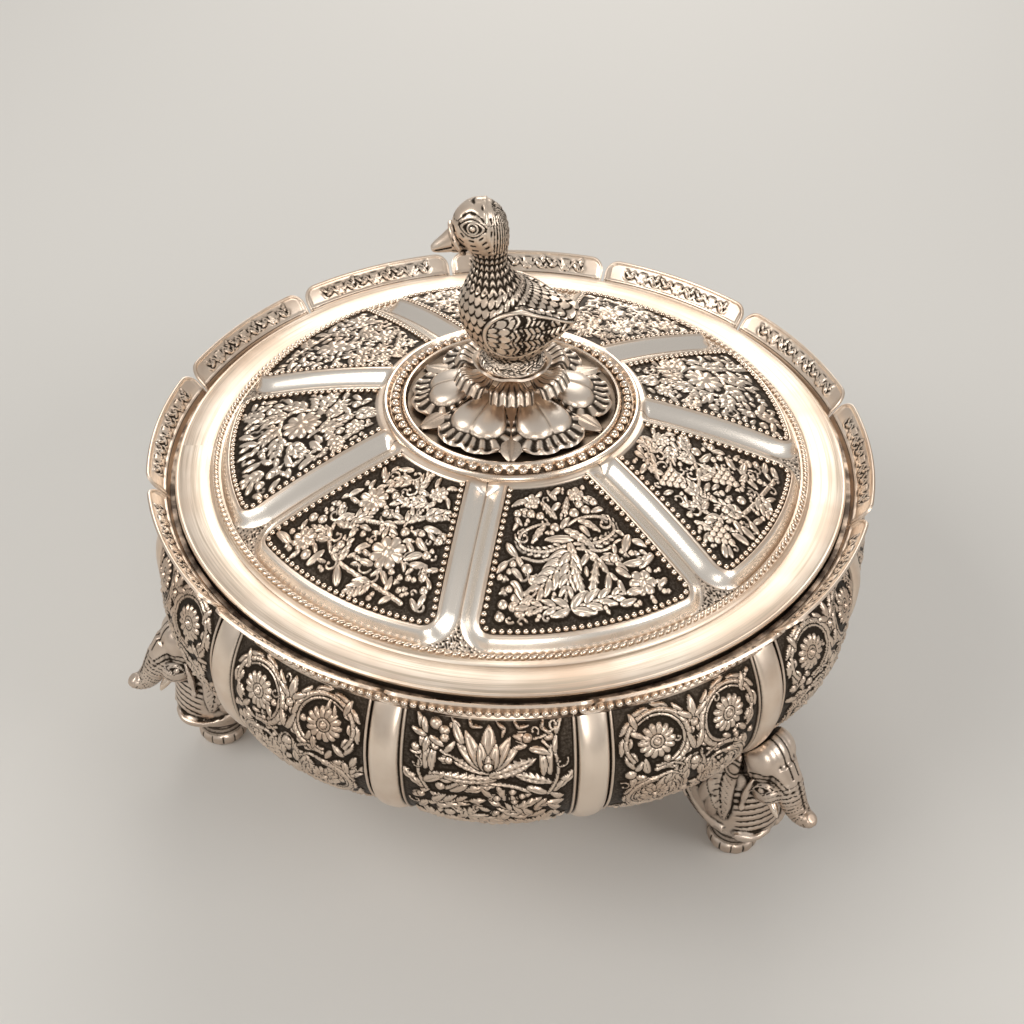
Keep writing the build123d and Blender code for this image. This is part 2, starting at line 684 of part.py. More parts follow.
# Foot studs and nuts: each casting hangs from a stud through the boss inside the bowl
foot_stud_foot = foot_boss_height - FOOT_STUD_DEPTH
with BuildPart() as foot_studs:
    with BuildSketch(Plane.XY.offset(foot_stud_foot)):
        with Locations(*stud_places):
            Circle(FOOT_STUD_RADIUS)
    extrude(amount=FOOT_STUD_DEPTH + FOOT_NUT_HEIGHT + FOOT_STUD_RADIUS)

with BuildPart() as foot_nuts:
    with BuildSketch(Plane.XY.offset(foot_boss_height)):
        with Locations(*stud_places):
            RegularPolygon(FOOT_NUT_WIDTH / 2, 6, major_radius=False)
            Circle(FOOT_STUD_RADIUS + THREAD_CLEARANCE, mode=Mode.SUBTRACT)
    extrude(amount=FOOT_NUT_HEIGHT)

# Elephant feet: solid castings under the belly, each a half figure facing outwards over one foot.
# The casting is drawn facing +X from the box axis, then turned to its place.


def elephant_point(x, y, z):
    """Point on the figure from shares of its height, with x out from the middle of its foot."""
    return Vector(foot_centre + x * ELEPHANT_HEIGHT, y * ELEPHANT_HEIGHT, z * ELEPHANT_HEIGHT)


with BuildPart() as elephant:
    # Round foot and ankle
    leg = (
        (0.0, FOOT_RADIUS - FOOT_CHAMFER),
        (FOOT_CHAMFER, FOOT_RADIUS),
        (FOOT_HEIGHT, FOOT_RADIUS),
        (FOOT_HEIGHT + FOOT_RADIUS - ANKLE_RADIUS, ANKLE_RADIUS),
        (ANKLE_HEIGHT, ANKLE_RADIUS),
    )
    rings = [oval_ring((foot_centre, 0, z), radius, radius, FOOT_FLATS) for z, radius in leg]
    add(faceted(rings))
    # Body: widens from the ankle to the knees, then leans back under the bowl
    body = (
        # shares of the height: level, back, front, half width
        (0.145, -0.129, 0.129, 0.135),
        (0.258, -0.331, 0.234, 0.203),
        (0.419, -0.403, 0.242, 0.216),
        (0.613, -0.411, 0.21, 0.2),
        (0.839, -0.411, 0.169, 0.161),
    )
    rings = []
    for level, back, front, half_width in body:
        centre = elephant_point((front + back) / 2, 0, level)
        half_long = (front - back) / 2 * ELEPHANT_HEIGHT
        rings.append(oval_ring(centre, half_long, half_width * ELEPHANT_HEIGHT, HEAD_FLATS))
    add(faceted(rings))
    # Head
    rings = []
    for turn in (-72, -36, 0, 36, 72):
        lift = HEAD_HALF_HEIGHT * sin(radians(turn)) / ELEPHANT_HEIGHT
        radius = HEAD_HALF_WIDTH * cos(radians(turn))
        rings.append(oval_ring(elephant_point(0.144, 0, 0.806 + lift), radius, radius, HEAD_FLATS))
    add(faceted(rings))
    # Trunk: tapers down from the forehead and curls up at the tip
    trunk = [(0.218, 0.839), (0.315, 0.694), (0.382, 0.568), (0.437, 0.606)]
    trunk_line = Spline(*[elephant_point(x, 0, z) for x, z in trunk], mode=Mode.PRIVATE)
    rings = []
    for share, girth in (
        (0.0, 0.126),
        (0.3, 0.103),
        (0.6, 0.074),
        (0.78, 0.058),
        (0.9, 0.045),
        (1.0, 0.035),
    ):
        along = trunk_line % share
        radius = girth * ELEPHANT_HEIGHT
        deep = (along.Z, 0, -along.X)
        rings.append(oval_ring(trunk_line @ share, radius, radius, TRUNK_FLATS, (0, 1, 0), deep))
    add(faceted(rings))
    for side in (-1, 1):
        # Ear, hanging beside the head as a leaf-shaped lappet
        ear = [(0.113, 0.887), (-0.024, 0.806), (-0.073, 0.645), (-0.032, 0.484)]
        ear += [(0.032, 0.371), (0.113, 0.516), (0.145, 0.71)]
        rings = [[elephant_point(x, side * y, z) for x, z in ear] for y in (0.139, 0.197)]
        add(faceted(rings))
        # Tusk
        tusk = ((0.218, 0.087, 0.669, 0.029), (0.308, 0.106, 0.584, 0.0145))
        rings = []
        for x, y, z, girth in tusk:
            radius = girth * ELEPHANT_HEIGHT
            rings.append(
                oval_ring(elephant_point(x, side * y, z), radius, radius, 6, (0, 1, 0), (1, 0, 1))
            )
        add(faceted(rings))
        # Knee
        rings = []
        for level in (0.252, 0.339):
            radius = 0.103 * ELEPHANT_HEIGHT
            rings.append(oval_ring(elephant_point(0.185, side * 0.087, level), radius, radius, 8))
        add(faceted(rings))

elephant_feet = {}
for side, azimuth in FOOT_AZIMUTHS.items():
    with BuildPart() as elephant_foot:
        add(elephant.part.rotate(Axis.Z, azimuth - 90))
        # Clear of the bowl's wall above
        clear_of_bowl = []
        for angle in BELLY_ANGLES:
            radius, height = belly_point(angle, -BOWL_GAP)
            bulge = LOBE_BULGE * radius / belly_radius
            clear_of_bowl.append(lobed_ring(radius, height - BOWL_GAP, bulge))
        add(faceted(clear_of_bowl), mode=Mode.SUBTRACT)
        # Threaded hole for the mounting stud
        with BuildSketch(Plane.XY.offset(foot_stud_foot)):
            with Locations(placed(foot_stud_centre, azimuth)):
                Circle(FOOT_STUD_RADIUS + THREAD_CLEARANCE)
        extrude(amount=FOOT_STUD_DEPTH, mode=Mode.SUBTRACT)
    elephant_feet[f"elephant_foot_{side}"] = elephant_foot

# Tray: flat plate on the mouth ring's ledge, with an eight-sided hole for each cup
tray_face = ledge_height + TRAY_THICKNESS
cup_places = [Vector(0, 0, 0)] + [placed(CUP_RING_RADIUS, turn * 60) for turn in range(6)]
with BuildPart() as tray:
    tray_edge = ring_bore - TRAY_CLEARANCE
    add(faceted([round_ring(tray_edge, ledge_height), round_ring(tray_edge, tray_face)]))
    for place in cup_places:
        hole = [eight_sided(place, CUP_WIDTH + 2 * CUP_CLEARANCE, z) for z in (ledge_height, tray_face)]
        add(faceted(hole), mode=Mode.SUBTRACT)

# Lifting loops: two arches standing on the tray between the cups
with BuildPart() as tray_loops:
    for side in (-1, 1):
        loop_foot = (side * LOOP_CENTRE, 0, tray_face)
        with BuildSketch(Plane(loop_foot, x_dir=(0, 1, 0), z_dir=(1, 0, 0))):
            RegularPolygon(LOOP_RADIUS, 16)
            RegularPolygon(LOOP_RADIUS - LOOP_WIRE, 16, mode=Mode.SUBTRACT)
            with Locations((0, -LOOP_RADIUS)):
                Rectangle(2 * LOOP_RADIUS, 2 * LOOP_RADIUS, mode=Mode.SUBTRACT)
        extrude(amount=LOOP_WIRE / 2, both=True)

# Cups, their lids and knobs: eight-sided, each cup hanging in the tray by its lip
cup_floor = tray_face - CUP_DEPTH
lip_face = tray_face + CUP_WALL
lip_width = CUP_WIDTH + 2 * CUP_LIP
bore_width = CUP_WIDTH - 2 * CUP_WALL
spigot_width = bore_width - 2 * CUP_SPIGOT_CLEARANCE
spigot_foot = lip_face - CUP_SPIGOT_DEPTH
lid_face = lip_face + CUP_WALL
lid_top = lid_face + CUP_LID_RISE
cups = {}
cup_lids = {}
cup_knobs = {}
for number, place in enumerate(cup_places, start=1):
    with BuildPart() as cup:
        outside = (
            (CUP_BASE_WIDTH, cup_floor),
            (CUP_WIDTH, tray_face),
            (lip_width, tray_face),
            (lip_width, lip_face),
        )
        add(faceted([eight_sided(place, width, height) for width, height in outside]))
        inside = ((CUP_BASE_WIDTH - 2 * CUP_WALL, cup_floor + CUP_WALL), (bore_width, lip_face))
        hollow = [eight_sided(place, width, height) for width, height in inside]
        add(faceted(hollow), mode=Mode.SUBTRACT)
    cups[f"cup_{number}"] = cup

    # Lid: raised sheet cover with a spigot that drops inside the cup's mouth
    with BuildPart() as cup_lid:
        outside = (
            (spigot_width, spigot_foot),
            (spigot_width, lip_face),
            (lip_width, lip_face),
            (lip_width, lid_face),
            (CUP_WIDTH, lid_face),
            (CUP_LID_TOP_WIDTH, lid_top),
        )
        add(faceted([eight_sided(place, width, height) for width, height in outside]))
        inside = (
            (spigot_width - 2 * CUP_WALL, spigot_foot),
            (spigot_width - 2 * CUP_WALL, lid_face),
            (CUP_LID_TOP_WIDTH, lid_top - CUP_WALL),
        )
        hollow = [eight_sided(place, width, height) for width, height in inside]
        add(faceted(hollow), mode=Mode.SUBTRACT)
    cup_lids[f"cup_lid_{number}"] = cup_lid

    # Knob: eight-sided bud
    with BuildPart() as cup_knob:
        bud = ((0.5, 0.0), (1.0, 0.5), (0.85, 0.8), (0.2, 1.0))
        rings = [
            eight_sided(place, KNOB_WIDTH * reach, lid_top + KNOB_HEIGHT * rise)
            for reach, rise in bud
        ]
        add(faceted(rings))
    cup_knobs[f"cup_knob_{number}"] = cup_knob

pieces = {
    "bowl": bowl,
    "mouth_ring": mouth_ring,
    "gallery": gallery,
    "bead_wire": bead_wire,
    "foot_studs": foot_studs,
    "foot_nuts": foot_nuts,
    "lid_border": lid_border,
    "lid_bezel": lid_bezel,
    "lid_dome": lid_dome,
    "rope_wire": rope_wire,
    "centre_ring": centre_ring,
    "centre_beads": centre_beads,
    "lower_lotus": lower_lotus,
    "upper_lotus": upper_lotus,
    "collar": collar,
    "duck": duck,
    "finial_stud": finial_stud,
    "finial_washer": finial_washer,
    "finial_nut": finial_nut,
    "tray": tray,
    "tray_loops": tray_loops,
    **elephant_feet,
    **cups,
    **cup_lids,
    **cup_knobs,
}
for name, piece in pieces.items():
    piece.part.label = name
    export_step(piece.part, f"parts/{name}.step")
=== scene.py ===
"""Paan box: twelve-lobed silver bowl on elephant feet, domed lid with a duck, tray of seven cups."""

from math import atan2, cos, pi, radians, sin, sqrt

import bmesh
import bpy
import numpy as np
from mathutils import Matrix, Vector


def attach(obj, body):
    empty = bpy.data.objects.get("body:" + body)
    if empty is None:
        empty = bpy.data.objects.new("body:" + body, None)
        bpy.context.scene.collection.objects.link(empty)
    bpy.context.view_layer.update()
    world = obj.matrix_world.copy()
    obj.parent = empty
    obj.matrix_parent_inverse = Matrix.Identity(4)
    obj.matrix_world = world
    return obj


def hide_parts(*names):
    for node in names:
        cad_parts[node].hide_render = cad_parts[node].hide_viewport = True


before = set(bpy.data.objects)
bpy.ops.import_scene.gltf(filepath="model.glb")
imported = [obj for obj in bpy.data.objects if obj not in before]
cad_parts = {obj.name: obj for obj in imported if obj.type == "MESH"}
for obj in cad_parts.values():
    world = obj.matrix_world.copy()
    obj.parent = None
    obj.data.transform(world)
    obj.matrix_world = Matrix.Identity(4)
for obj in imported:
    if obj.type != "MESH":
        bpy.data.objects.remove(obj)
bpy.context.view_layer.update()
scene = bpy.context.scene
MM = 0.001

# Table and studio: a pale table under the box, three soft lamps and a plain grey-white room.
# The camera sees a white room; the box is lit by a dimmer one and reflects a brighter one.
ROOM_LIGHT = 0.22
ROOM_REFLECTED = 0.48
HALF_TABLE = 6.0
scene.view_settings.view_transform = "Standard"
table_mesh = bpy.data.meshes.new("table")
table_mesh.from_pydata(
    [(x * HALF_TABLE, y * HALF_TABLE, 0.0) for x, y in ((-1, -1), (1, -1), (1, 1), (-1, 1))],
    [],
    [(0, 1, 2, 3)],
)
table = bpy.data.objects.new("table", table_mesh)
scene.collection.objects.link(table)
table_paint = bpy.data.materials.new("pale_table")
table_paint.use_nodes = True
table_shader = table_paint.node_tree.nodes["Principled BSDF"]
table_shader.inputs["Base Color"].default_value = (0.74, 0.73, 0.71, 1)
table_shader.inputs["Roughness"].default_value = 0.7
table_mesh.materials.append(table_paint)

room = bpy.data.worlds.new("room")
room.use_nodes = True
scene.world = room
room_nodes, room_links = room.node_tree.nodes, room.node_tree.links
light_path = room_nodes.new("ShaderNodeLightPath")
shiny = room_nodes.new("ShaderNodeMix")
shiny.data_type = "FLOAT"
room_light = room_nodes["Background"]
room_light.inputs["Color"].default_value = (1.0, 0.98, 0.95, 1)
shiny.inputs[2].default_value = ROOM_LIGHT
shiny.inputs[3].default_value = ROOM_REFLECTED
room_links.new(light_path.outputs["Is Glossy Ray"], shiny.inputs[0])
room_links.new(shiny.outputs[0], room_light.inputs["Strength"])
seen_room = room_nodes.new("ShaderNodeBackground")
seen_room.inputs["Color"].default_value = (1, 1, 1, 1)
seen_room.inputs["Strength"].default_value = 1.0
room_mix = room_nodes.new("ShaderNodeMixShader")
room_links.new(light_path.outputs["Is Camera Ray"], room_mix.inputs[0])
room_links.new(room_light.outputs[0], room_mix.inputs[1])
room_links.new(seen_room.outputs[0], room_mix.inputs[2])
room_links.new(room_mix.outputs[0], room_nodes["World Output"].inputs[0])

for name, place, size, power, tint in (
    ("left_softbox", (-0.9, -0.35, 1.0), 0.8, 7.7, (1.0, 0.97, 0.92)),
    ("right_softbox", (0.95, -0.55, 0.75), 0.6, 4.6, (1.0, 0.97, 0.93)),
    ("back_softbox", (0.1, 1.1, 0.85), 0.9, 7.6, (1.0, 0.96, 0.9)),
    ("front_strip", (0.05, -0.95, 0.42), 0.3, 1.6, (1.0, 0.96, 0.9)),
):
    lamp = bpy.data.lights.new(name, "AREA")
    lamp.size = size
    lamp.energy = power
    lamp.color = tint
    lamp_object = bpy.data.objects.new(name, lamp)
    lamp_object.location = place
    lamp_object.rotation_euler = (Vector((0, 0, 0.1)) - Vector(place)).to_track_quat("-Z", "Y").to_euler()
    scene.collection.objects.link(lamp_object)

# Camera: looks down on the box from the front, and is turned a little about its own line of sight.
CAMERA_ELEVATION = 40.865
CAMERA_DISTANCE = 0.51882
CAMERA_ROLL = 0.75
CAMERA_SENSOR = 36.0
CAMERA_LENS = 54.32
CAMERA_AIM = Vector((0.000624, -0.033644, 0.114))
camera_data = bpy.data.cameras.new("camera")
camera_data.sensor_width = CAMERA_SENSOR
camera_data.lens = CAMERA_LENS
camera_data.clip_start = 0.01
camera = bpy.data.objects.new("camera", camera_data)
tilt = radians(CAMERA_ELEVATION)
camera.location = CAMERA_AIM + CAMERA_DISTANCE * Vector((0, -cos(tilt), sin(tilt)))
camera.rotation_euler = (
    Matrix.Rotation(radians(90 - CAMERA_ELEVATION), 4, "X") @ Matrix.Rotation(radians(CAMERA_ROLL), 4, "Z")
).to_euler()
scene.collection.objects.link(camera)
scene.camera = camera

# Lid dome: one silver sheet raised into eight pillows, each chased from the front with its own plant
# over a stippled ground that was blackened and never polished. The bevelled edges are drawn in the polished colour,
# a painted highlight.
RIM = 114.0
DOME_EDGE = 101.0
DOME_FOOT = 0.9
DOME_SHOULDER = (98.6, 5.4)
DOME_MIDDLE = (71.3, 15.2)
DOME_TOP = (44.0, 21.9)
GROOVE_DEPTH = 3.3
GROOVE_HALF_WIDTH = 5.6
OUTER_BEVEL = 2.4
CORNER_RADIUS = 11.0
FIRST_SPLIT = -9.5
PANEL_SPANS = (50.0, 44.0, 43.0, 40.0, 44.0, 43.0, 46.0, 50.0)
PANEL_MIDDLES = [FIRST_SPLIT + sum(PANEL_SPANS[:place]) + span / 2 for place, span in enumerate(PANEL_SPANS)]


class Value:
    """A shader value: Python arithmetic on it adds Math nodes to its finish."""

    def __init__(self, finish, socket):
        self.finish = finish
        self.socket = socket

    def reckon(self, operation, first, second=0.0):
        return self.finish.node("ShaderNodeMath", {"operation": operation}, {0: first, 1: second})

    def __add__(self, other):
        return self.reckon("ADD", self, other)

    def __sub__(self, other):
        return self.reckon("SUBTRACT", self, other)

    def __rsub__(self, other):
        return self.reckon("SUBTRACT", other, self)

    def __mul__(self, other):
        return self.reckon("MULTIPLY", self, other)

    def __pow__(self, other):
        return self.reckon("POWER", self, other)

    __radd__ = __add__
    __rmul__ = __mul__

    def between(self, low, high):
        """0 below low, 1 above high, smooth between."""
        settings = {"interpolation_type": "SMOOTHSTEP"}
        return self.finish.node("ShaderNodeMapRange", settings, {0: self, 1: low, 2: high})


class Finish:
    """A metal material under construction; every method adds the nodes that it needs."""

    def __init__(self, name, roughness=0.3):
        self.material = bpy.data.materials.new(name)
        self.material.use_nodes = True
        self.tree = self.material.node_tree
        self.shader = self.tree.nodes["Principled BSDF"]
        self.set(Roughness=roughness, Metallic=1.0)

    def node(self, kind, settings=None, inputs=None, output=0):
        """Adds a node and returns one of its outputs."""
        made = self.tree.nodes.new(kind)
        for key, setting in (settings or {}).items():
            setattr(made, key, setting)
        for key, given in (inputs or {}).items():
            self.feed(made.inputs[key], given)
        return Value(self, made.outputs[output])

    def feed(self, socket, given):
        """Links a value to a socket, or sets the socket to a number or a colour."""
        if isinstance(given, Value):
            self.tree.links.new(given.socket, socket)
        elif isinstance(given, tuple) and len(given) == 3 and socket.type == "RGBA":
            socket.default_value = (*given, 1.0)
        else:
            socket.default_value = given

    def set(self, **inputs):
        """Feeds inputs of the shader; _ stands for a blank in a name."""
        for name, given in inputs.items():
            self.feed(self.shader.inputs[name.replace("_", " ")], given)

    def place(self):
        return self.node("ShaderNodeTexCoord", output=3)

    def noise(self, place, scale, detail=3.0, roughness=0.55):
        inputs = {"Vector": place, "Scale": scale, "Detail": detail, "Roughness": roughness}
        return self.node("ShaderNodeTexNoise", {"noise_dimensions": "3D"}, inputs)

    def mix(self, share, first, second):
        """Colour between two colours."""
        return self.node("ShaderNodeMix", {"data_type": "RGBA"}, {0: share, 6: first, 7: second}, output=2)

    def stored(self, name):
        """A number stored on the mesh."""
        return self.node("ShaderNodeAttribute", {"attribute_name": name}, output=2)

    def bump(self, height, strength, distance=0.0001):
        inputs = {"Strength": strength, "Distance": distance, "Height": height}
        self.set(Normal=self.node("ShaderNodeBump", inputs=inputs))


BRIGHT_SILVER = (0.84, 0.715, 0.6)
WARM_SILVER = (0.72, 0.57, 0.45)
POLISHED_SILVER_AND_PAINTED_HIGHLIGHT = (0.97, 0.9, 0.82)
BLACKENED_SILVER_AND_PAINTED_SHADE = (0.034, 0.025, 0.018)


def chased_finish(name, stipple=0.55, bright=BRIGHT_SILVER, warm=WARM_SILVER):
    """Silver bright on the relief and dark between, by the mesh's tarnish and painted shade; in the polished colour
    where that is below 0, which on the lid's bevels is a painted highlight.
    """
    finish = Finish(name)
    place = finish.place()
    tarnish_and_painted_light = finish.stored("tarnish_and_painted_light")
    cloud = finish.noise(place, 45.0, 4.0)
    grain = finish.noise(place, 1400.0, 2.0)
    # Polished colour below 0: real polish on the lotus cushions, painted highlight on the lid's bevels
    polish_and_painted_highlight = (0.0 - tarnish_and_painted_light).between(0.0, 0.3)
    tone_and_painted_highlight = finish.mix(polish_and_painted_highlight, finish.mix(cloud.between(0.38, 0.68), bright, warm), POLISHED_SILVER_AND_PAINTED_HIGHLIGHT)
    # The dark colour is the blackened ground and, where the stored number holds it, painted shade
    dark = (tarnish_and_painted_light + (grain - 0.5) * 0.28).between(0.12, 0.9)
    finish.set(Base_Color=finish.mix(dark, tone_and_painted_highlight, BLACKENED_SILVER_AND_PAINTED_SHADE))
    finish.set(Roughness=0.33 + 0.22 * dark + 0.1 * (cloud - 0.5) - 0.08 * polish_and_painted_highlight)
    pits = finish.node("ShaderNodeTexVoronoi", {"feature": "F1"}, {"Vector": place, "Scale": 1300.0})
    finish.bump(pits * dark, stipple, 0.00012)
    return finish.material


def clamp(values):
    """Values kept between 0 and 1."""
    return np.clip(values, 0, 1)


def domed(share, power=2):
    """Height of a dome, 1 in its middle and 0 where share is 1; a higher power makes it flatter on top."""
    return np.sqrt(clamp(1 - share**power))


def soften(grid, passes):
    """Blurs a grid of numbers."""
    for _ in range(passes):
        padded = np.pad(grid, 1, mode="edge")
        grid = (padded[:-2, 1:-1] + 2 * padded[1:-1, 1:-1] + padded[2:, 1:-1]) / 4
        padded = np.pad(grid, 1, mode="edge")
        grid = (padded[1:-1, :-2] + 2 * padded[1:-1, 1:-1] + padded[1:-1, 2:]) / 4
    return grid


class Chasing:
    """Relief drawn on a patch of sheet, with across and along in millimetres at each grid point."""

    def __init__(self, across, along, seed):
        self.across, self.along = across, along
        self.height = np.zeros_like(across)
        self.random = np.random.default_rng(seed)

    def near(self, x, y, reach):
        """Window of the grid round a place, with the distances from it; None outside the patch."""
        close = (abs(self.across - x) < reach) & (abs(self.along - y) < reach)
        rows, columns = np.where(close.any(1))[0], np.where(close.any(0))[0]
        if not len(rows) or not len(columns):
            return None
        window = (slice(rows[0], rows[-1] + 1), slice(columns[0], columns[-1] + 1))
        return window, self.across[window] - x, self.along[window] - y

    def lay(self, window, away, height):
        """Lays a shape over what is there, with a cut line round it; away is mm outside its edge."""
        below = self.height[window]
        below = below * np.clip((away - 0.12) / 0.3, 0.08, 1)
        self.height[window] = np.where(away < 0, np.maximum(height, 0.12), below)

    def berry(self, x, y, radius, height=1.0):
        """Round domed dot."""
        found = self.near(x, y, radius + 0.5)
        if found:
            window, dx, dy = found
            away = np.hypot(dx, dy)
            self.lay(window, away - radius, height * domed(away / radius))

    def stem(self, points, width=0.9, height=0.7, taper=0.5):
        """Rounded wire along points; it thins towards its end."""
        points = np.asarray(points, float)
        share = np.linspace(0, 1, len(points))
        for (x0, y0), (x1, y1), at in zip(points, points[1:], share):
            half = width / 2 * (1 - taper * at)
            length = max(sqrt((x1 - x0) ** 2 + (y1 - y0) ** 2), 1e-6)
            found = self.near((x0 + x1) / 2, (y0 + y1) / 2, length / 2 + half + 0.5)
            if not found:
                continue
            window, dx, dy = found
            ux, uy = (x1 - x0) / length, (y1 - y0) / length
            run = np.clip(dx * ux + dy * uy, -length / 2, length / 2)
            away = np.hypot(dx - run * ux, dy - run * uy)
            past = np.abs(dx * ux + dy * uy) > length / 2 + 0.05
            self.lay(window, np.where(past & (away > half), 9.0, away - half), height * domed(away / half))

    def leaf(self, x, y, angle, length, width, bend=0.0, teeth=0, height=1.0):
        """Pointed leaf from its root, with a middle groove, side veins and a toothed edge."""
        found = self.near(x, y, length * 1.1 + 0.5)
        if not found:
            return
        window, dx, dy = found
        turn = radians(angle)
        run = (dx * cos(turn) + dy * sin(turn)) / length
        side = (-dx * sin(turn) + dy * cos(turn)) - bend * length * run * run
        inside = clamp(run)
        half = width / 2 * 2.05 * inside**0.62 * (1 - inside) ** 0.75
        if teeth:
            half = half * (1 - 0.42 * ((inside * teeth) % 1.0) * (inside < 0.93))
        away = np.abs(side) / np.maximum(half, 1e-6)
        body = domed(away, 2.4) * (0.62 + 0.38 * np.sin(pi * inside))
        vein = 0.55 * np.exp(-((side / max(0.07 * width, 0.2)) ** 2)) * (inside < 0.88) * (width > 1.9)
        ribs = 1 + 0.22 * np.sin(2 * pi * (inside * teeth - away * 0.7)) * (away < 0.95) if teeth else 1
        outside = np.where((run < 0) | (run > 1), 9.0, np.abs(side) - half)
        self.lay(window, outside, height * body * (1 - vein) * ribs)

    def leaves(self, *rows):
        """Leaves in turn, each row as leaf() takes it."""
        for row in rows:
            self.leaf(*row)

    def flower(self, x, y, radius, petals):
        """Open flower: round petals, each with a groove, about a domed eye."""
        found = self.near(x, y, radius + 0.5)
        if not found:
            return
        window, dx, dy = found
        away = np.hypot(dx, dy) / radius
        swing = petals * np.arctan2(dy, dx) / 2
        edge = 0.74 + 0.26 * np.abs(np.cos(swing)) ** 0.6
        petal = domed(away / edge, 6) * (0.35 + 0.65 * away)
        petal *= np.abs(np.cos(swing)) ** 0.35
        eye = 1.05 * domed(away / 0.3)
        self.lay(window, (away - edge) * radius, np.maximum(petal, eye))

    def bud(self, x, y, angle, size, height=1.0):
        """Round bud between two small leaves."""
        turn = radians(angle)
        self.leaf(x, y, angle + 32, size * 1.25, size * 0.5, -0.3, 0, height * 0.8)
        self.leaf(x, y, angle - 32, size * 1.25, size * 0.5, 0.3, 0, height * 0.8)
        self.leaf(x, y, angle, size * 1.55, size * 0.75, 0, 0, height)
        self.berry(x + cos(turn) * size * 0.5, y + sin(turn) * size * 0.5, size * 0.36, height)

    def curl(self, x, y, angle, size, way=1, width=0.7, height=0.7):
        """Tendril that rolls up into a dot."""
        points = []
        for step in np.linspace(0, 1, 16):
            roll = radians(angle) + way * step * 4.4
            reach = size * (1 - 0.75 * step)
            px = x + size * cos(radians(angle)) - reach * cos(roll) * 0.9
            py = y + size * sin(radians(angle)) - reach * sin(roll) * 0.9
            points.append((px, py))
        self.stem(points, width, height, 0.3)
        self.berry(*points[-1], width * 0.75, height * 1.1)

    def spray(self, x, y, angle, length, width, leaves, bend):
        """Acanthus spray: leaves along both sides of a bent rib, with one at its tip."""
        spine = []
        for step in np.linspace(0, 1, leaves + 1):
            run, side = length * step, bend * length * step * step
            turn = radians(angle)
            spine.append((x + run * cos(turn) - side * sin(turn), y + run * sin(turn) + side * cos(turn)))
        self.stem(spine, 0.9, 0.8)
        for number, ((px, py), (qx, qy)) in enumerate(zip(spine, spine[1:])):
            heading = np.degrees(atan2(qy - py, qx - px))
            size = width * (1 - 0.5 * number / leaves)
            for way in (1, -1):
                self.leaf(px, py, heading + way * 46, size, size * 0.5, -way * 0.35)
        self.leaf(*spine[-1], heading, width * 0.8, width * 0.42)

    def fill(self, inside, largest, smallest, tries):
        """Small leaves, curls, buds and berries wherever the ground is still bare, large ones first."""
        height, crowding = 0.85, 0.24
        rows, columns = np.where(inside)
        for attempt in range(tries):
            pick = self.random.integers(len(rows))
            row, column = rows[pick], columns[pick]
            size = largest + (smallest - largest) * self.random.random() * (1 - attempt / tries)
            angle, kind = self.random.random() * 360, self.random.random()
            x, y = self.across[row, column], self.along[row, column]
            found = self.near(x, y, size * 0.62)
            if found is None:
                continue
            window, dx, dy = found
            close = np.hypot(dx, dy) < size * 0.5
            if (self.height[window][close] > 0.05).mean() > crowding or not inside[window][close].all():
                continue
            turn = radians(angle)
            root = (x - cos(turn) * size * 0.55, y - sin(turn) * size * 0.55)
            if kind < 0.5:
                self.leaf(*root, angle, size * 1.2, size * 0.6, self.random.uniform(-0.35, 0.35), 0, height)
            elif kind < 0.68:
                self.curl(*root, angle, size * 0.5, self.random.choice((-1, 1)), 0.55, height * 0.75)
            elif kind < 0.85:
                self.bud(*root, angle, size * 0.6, height)
            else:
                self.berry(x, y, size * 0.3, height)

    def tarnish_and_painted_light(self, full_height):
        """0 on the raised metal, 1 on the blackened ground; darker close under an edge and on the relief's lower
        slopes, which is painted shade.
        """
        raised = clamp(self.height / full_height)
        # Painted shade: blurred height minus height, dark in the ground close under an edge and on lower slopes
        painted_shade_under_edges = clamp(soften(raised, 6) - raised)
        ground = 1 - clamp((raised - 0.08) / 0.42)
        return clamp(0.8 * ground + 2.4 * painted_shade_under_edges)


def new_object(name, mesh, tarnish_and_painted_light=None, finish=None):
    """Object for a mesh, with its finish and, for that finish, the tarnish, painted shade and painted highlight at
    every point.
    """
    if finish:
        mesh.materials.append(finish)
    if tarnish_and_painted_light is not None:
        stored = mesh.attributes.new("tarnish_and_painted_light", "FLOAT", "POINT")
        stored.data.foreach_set("value", tarnish_and_painted_light)
    made = bpy.data.objects.new(name, mesh)
    scene.collection.objects.link(made)
    return made


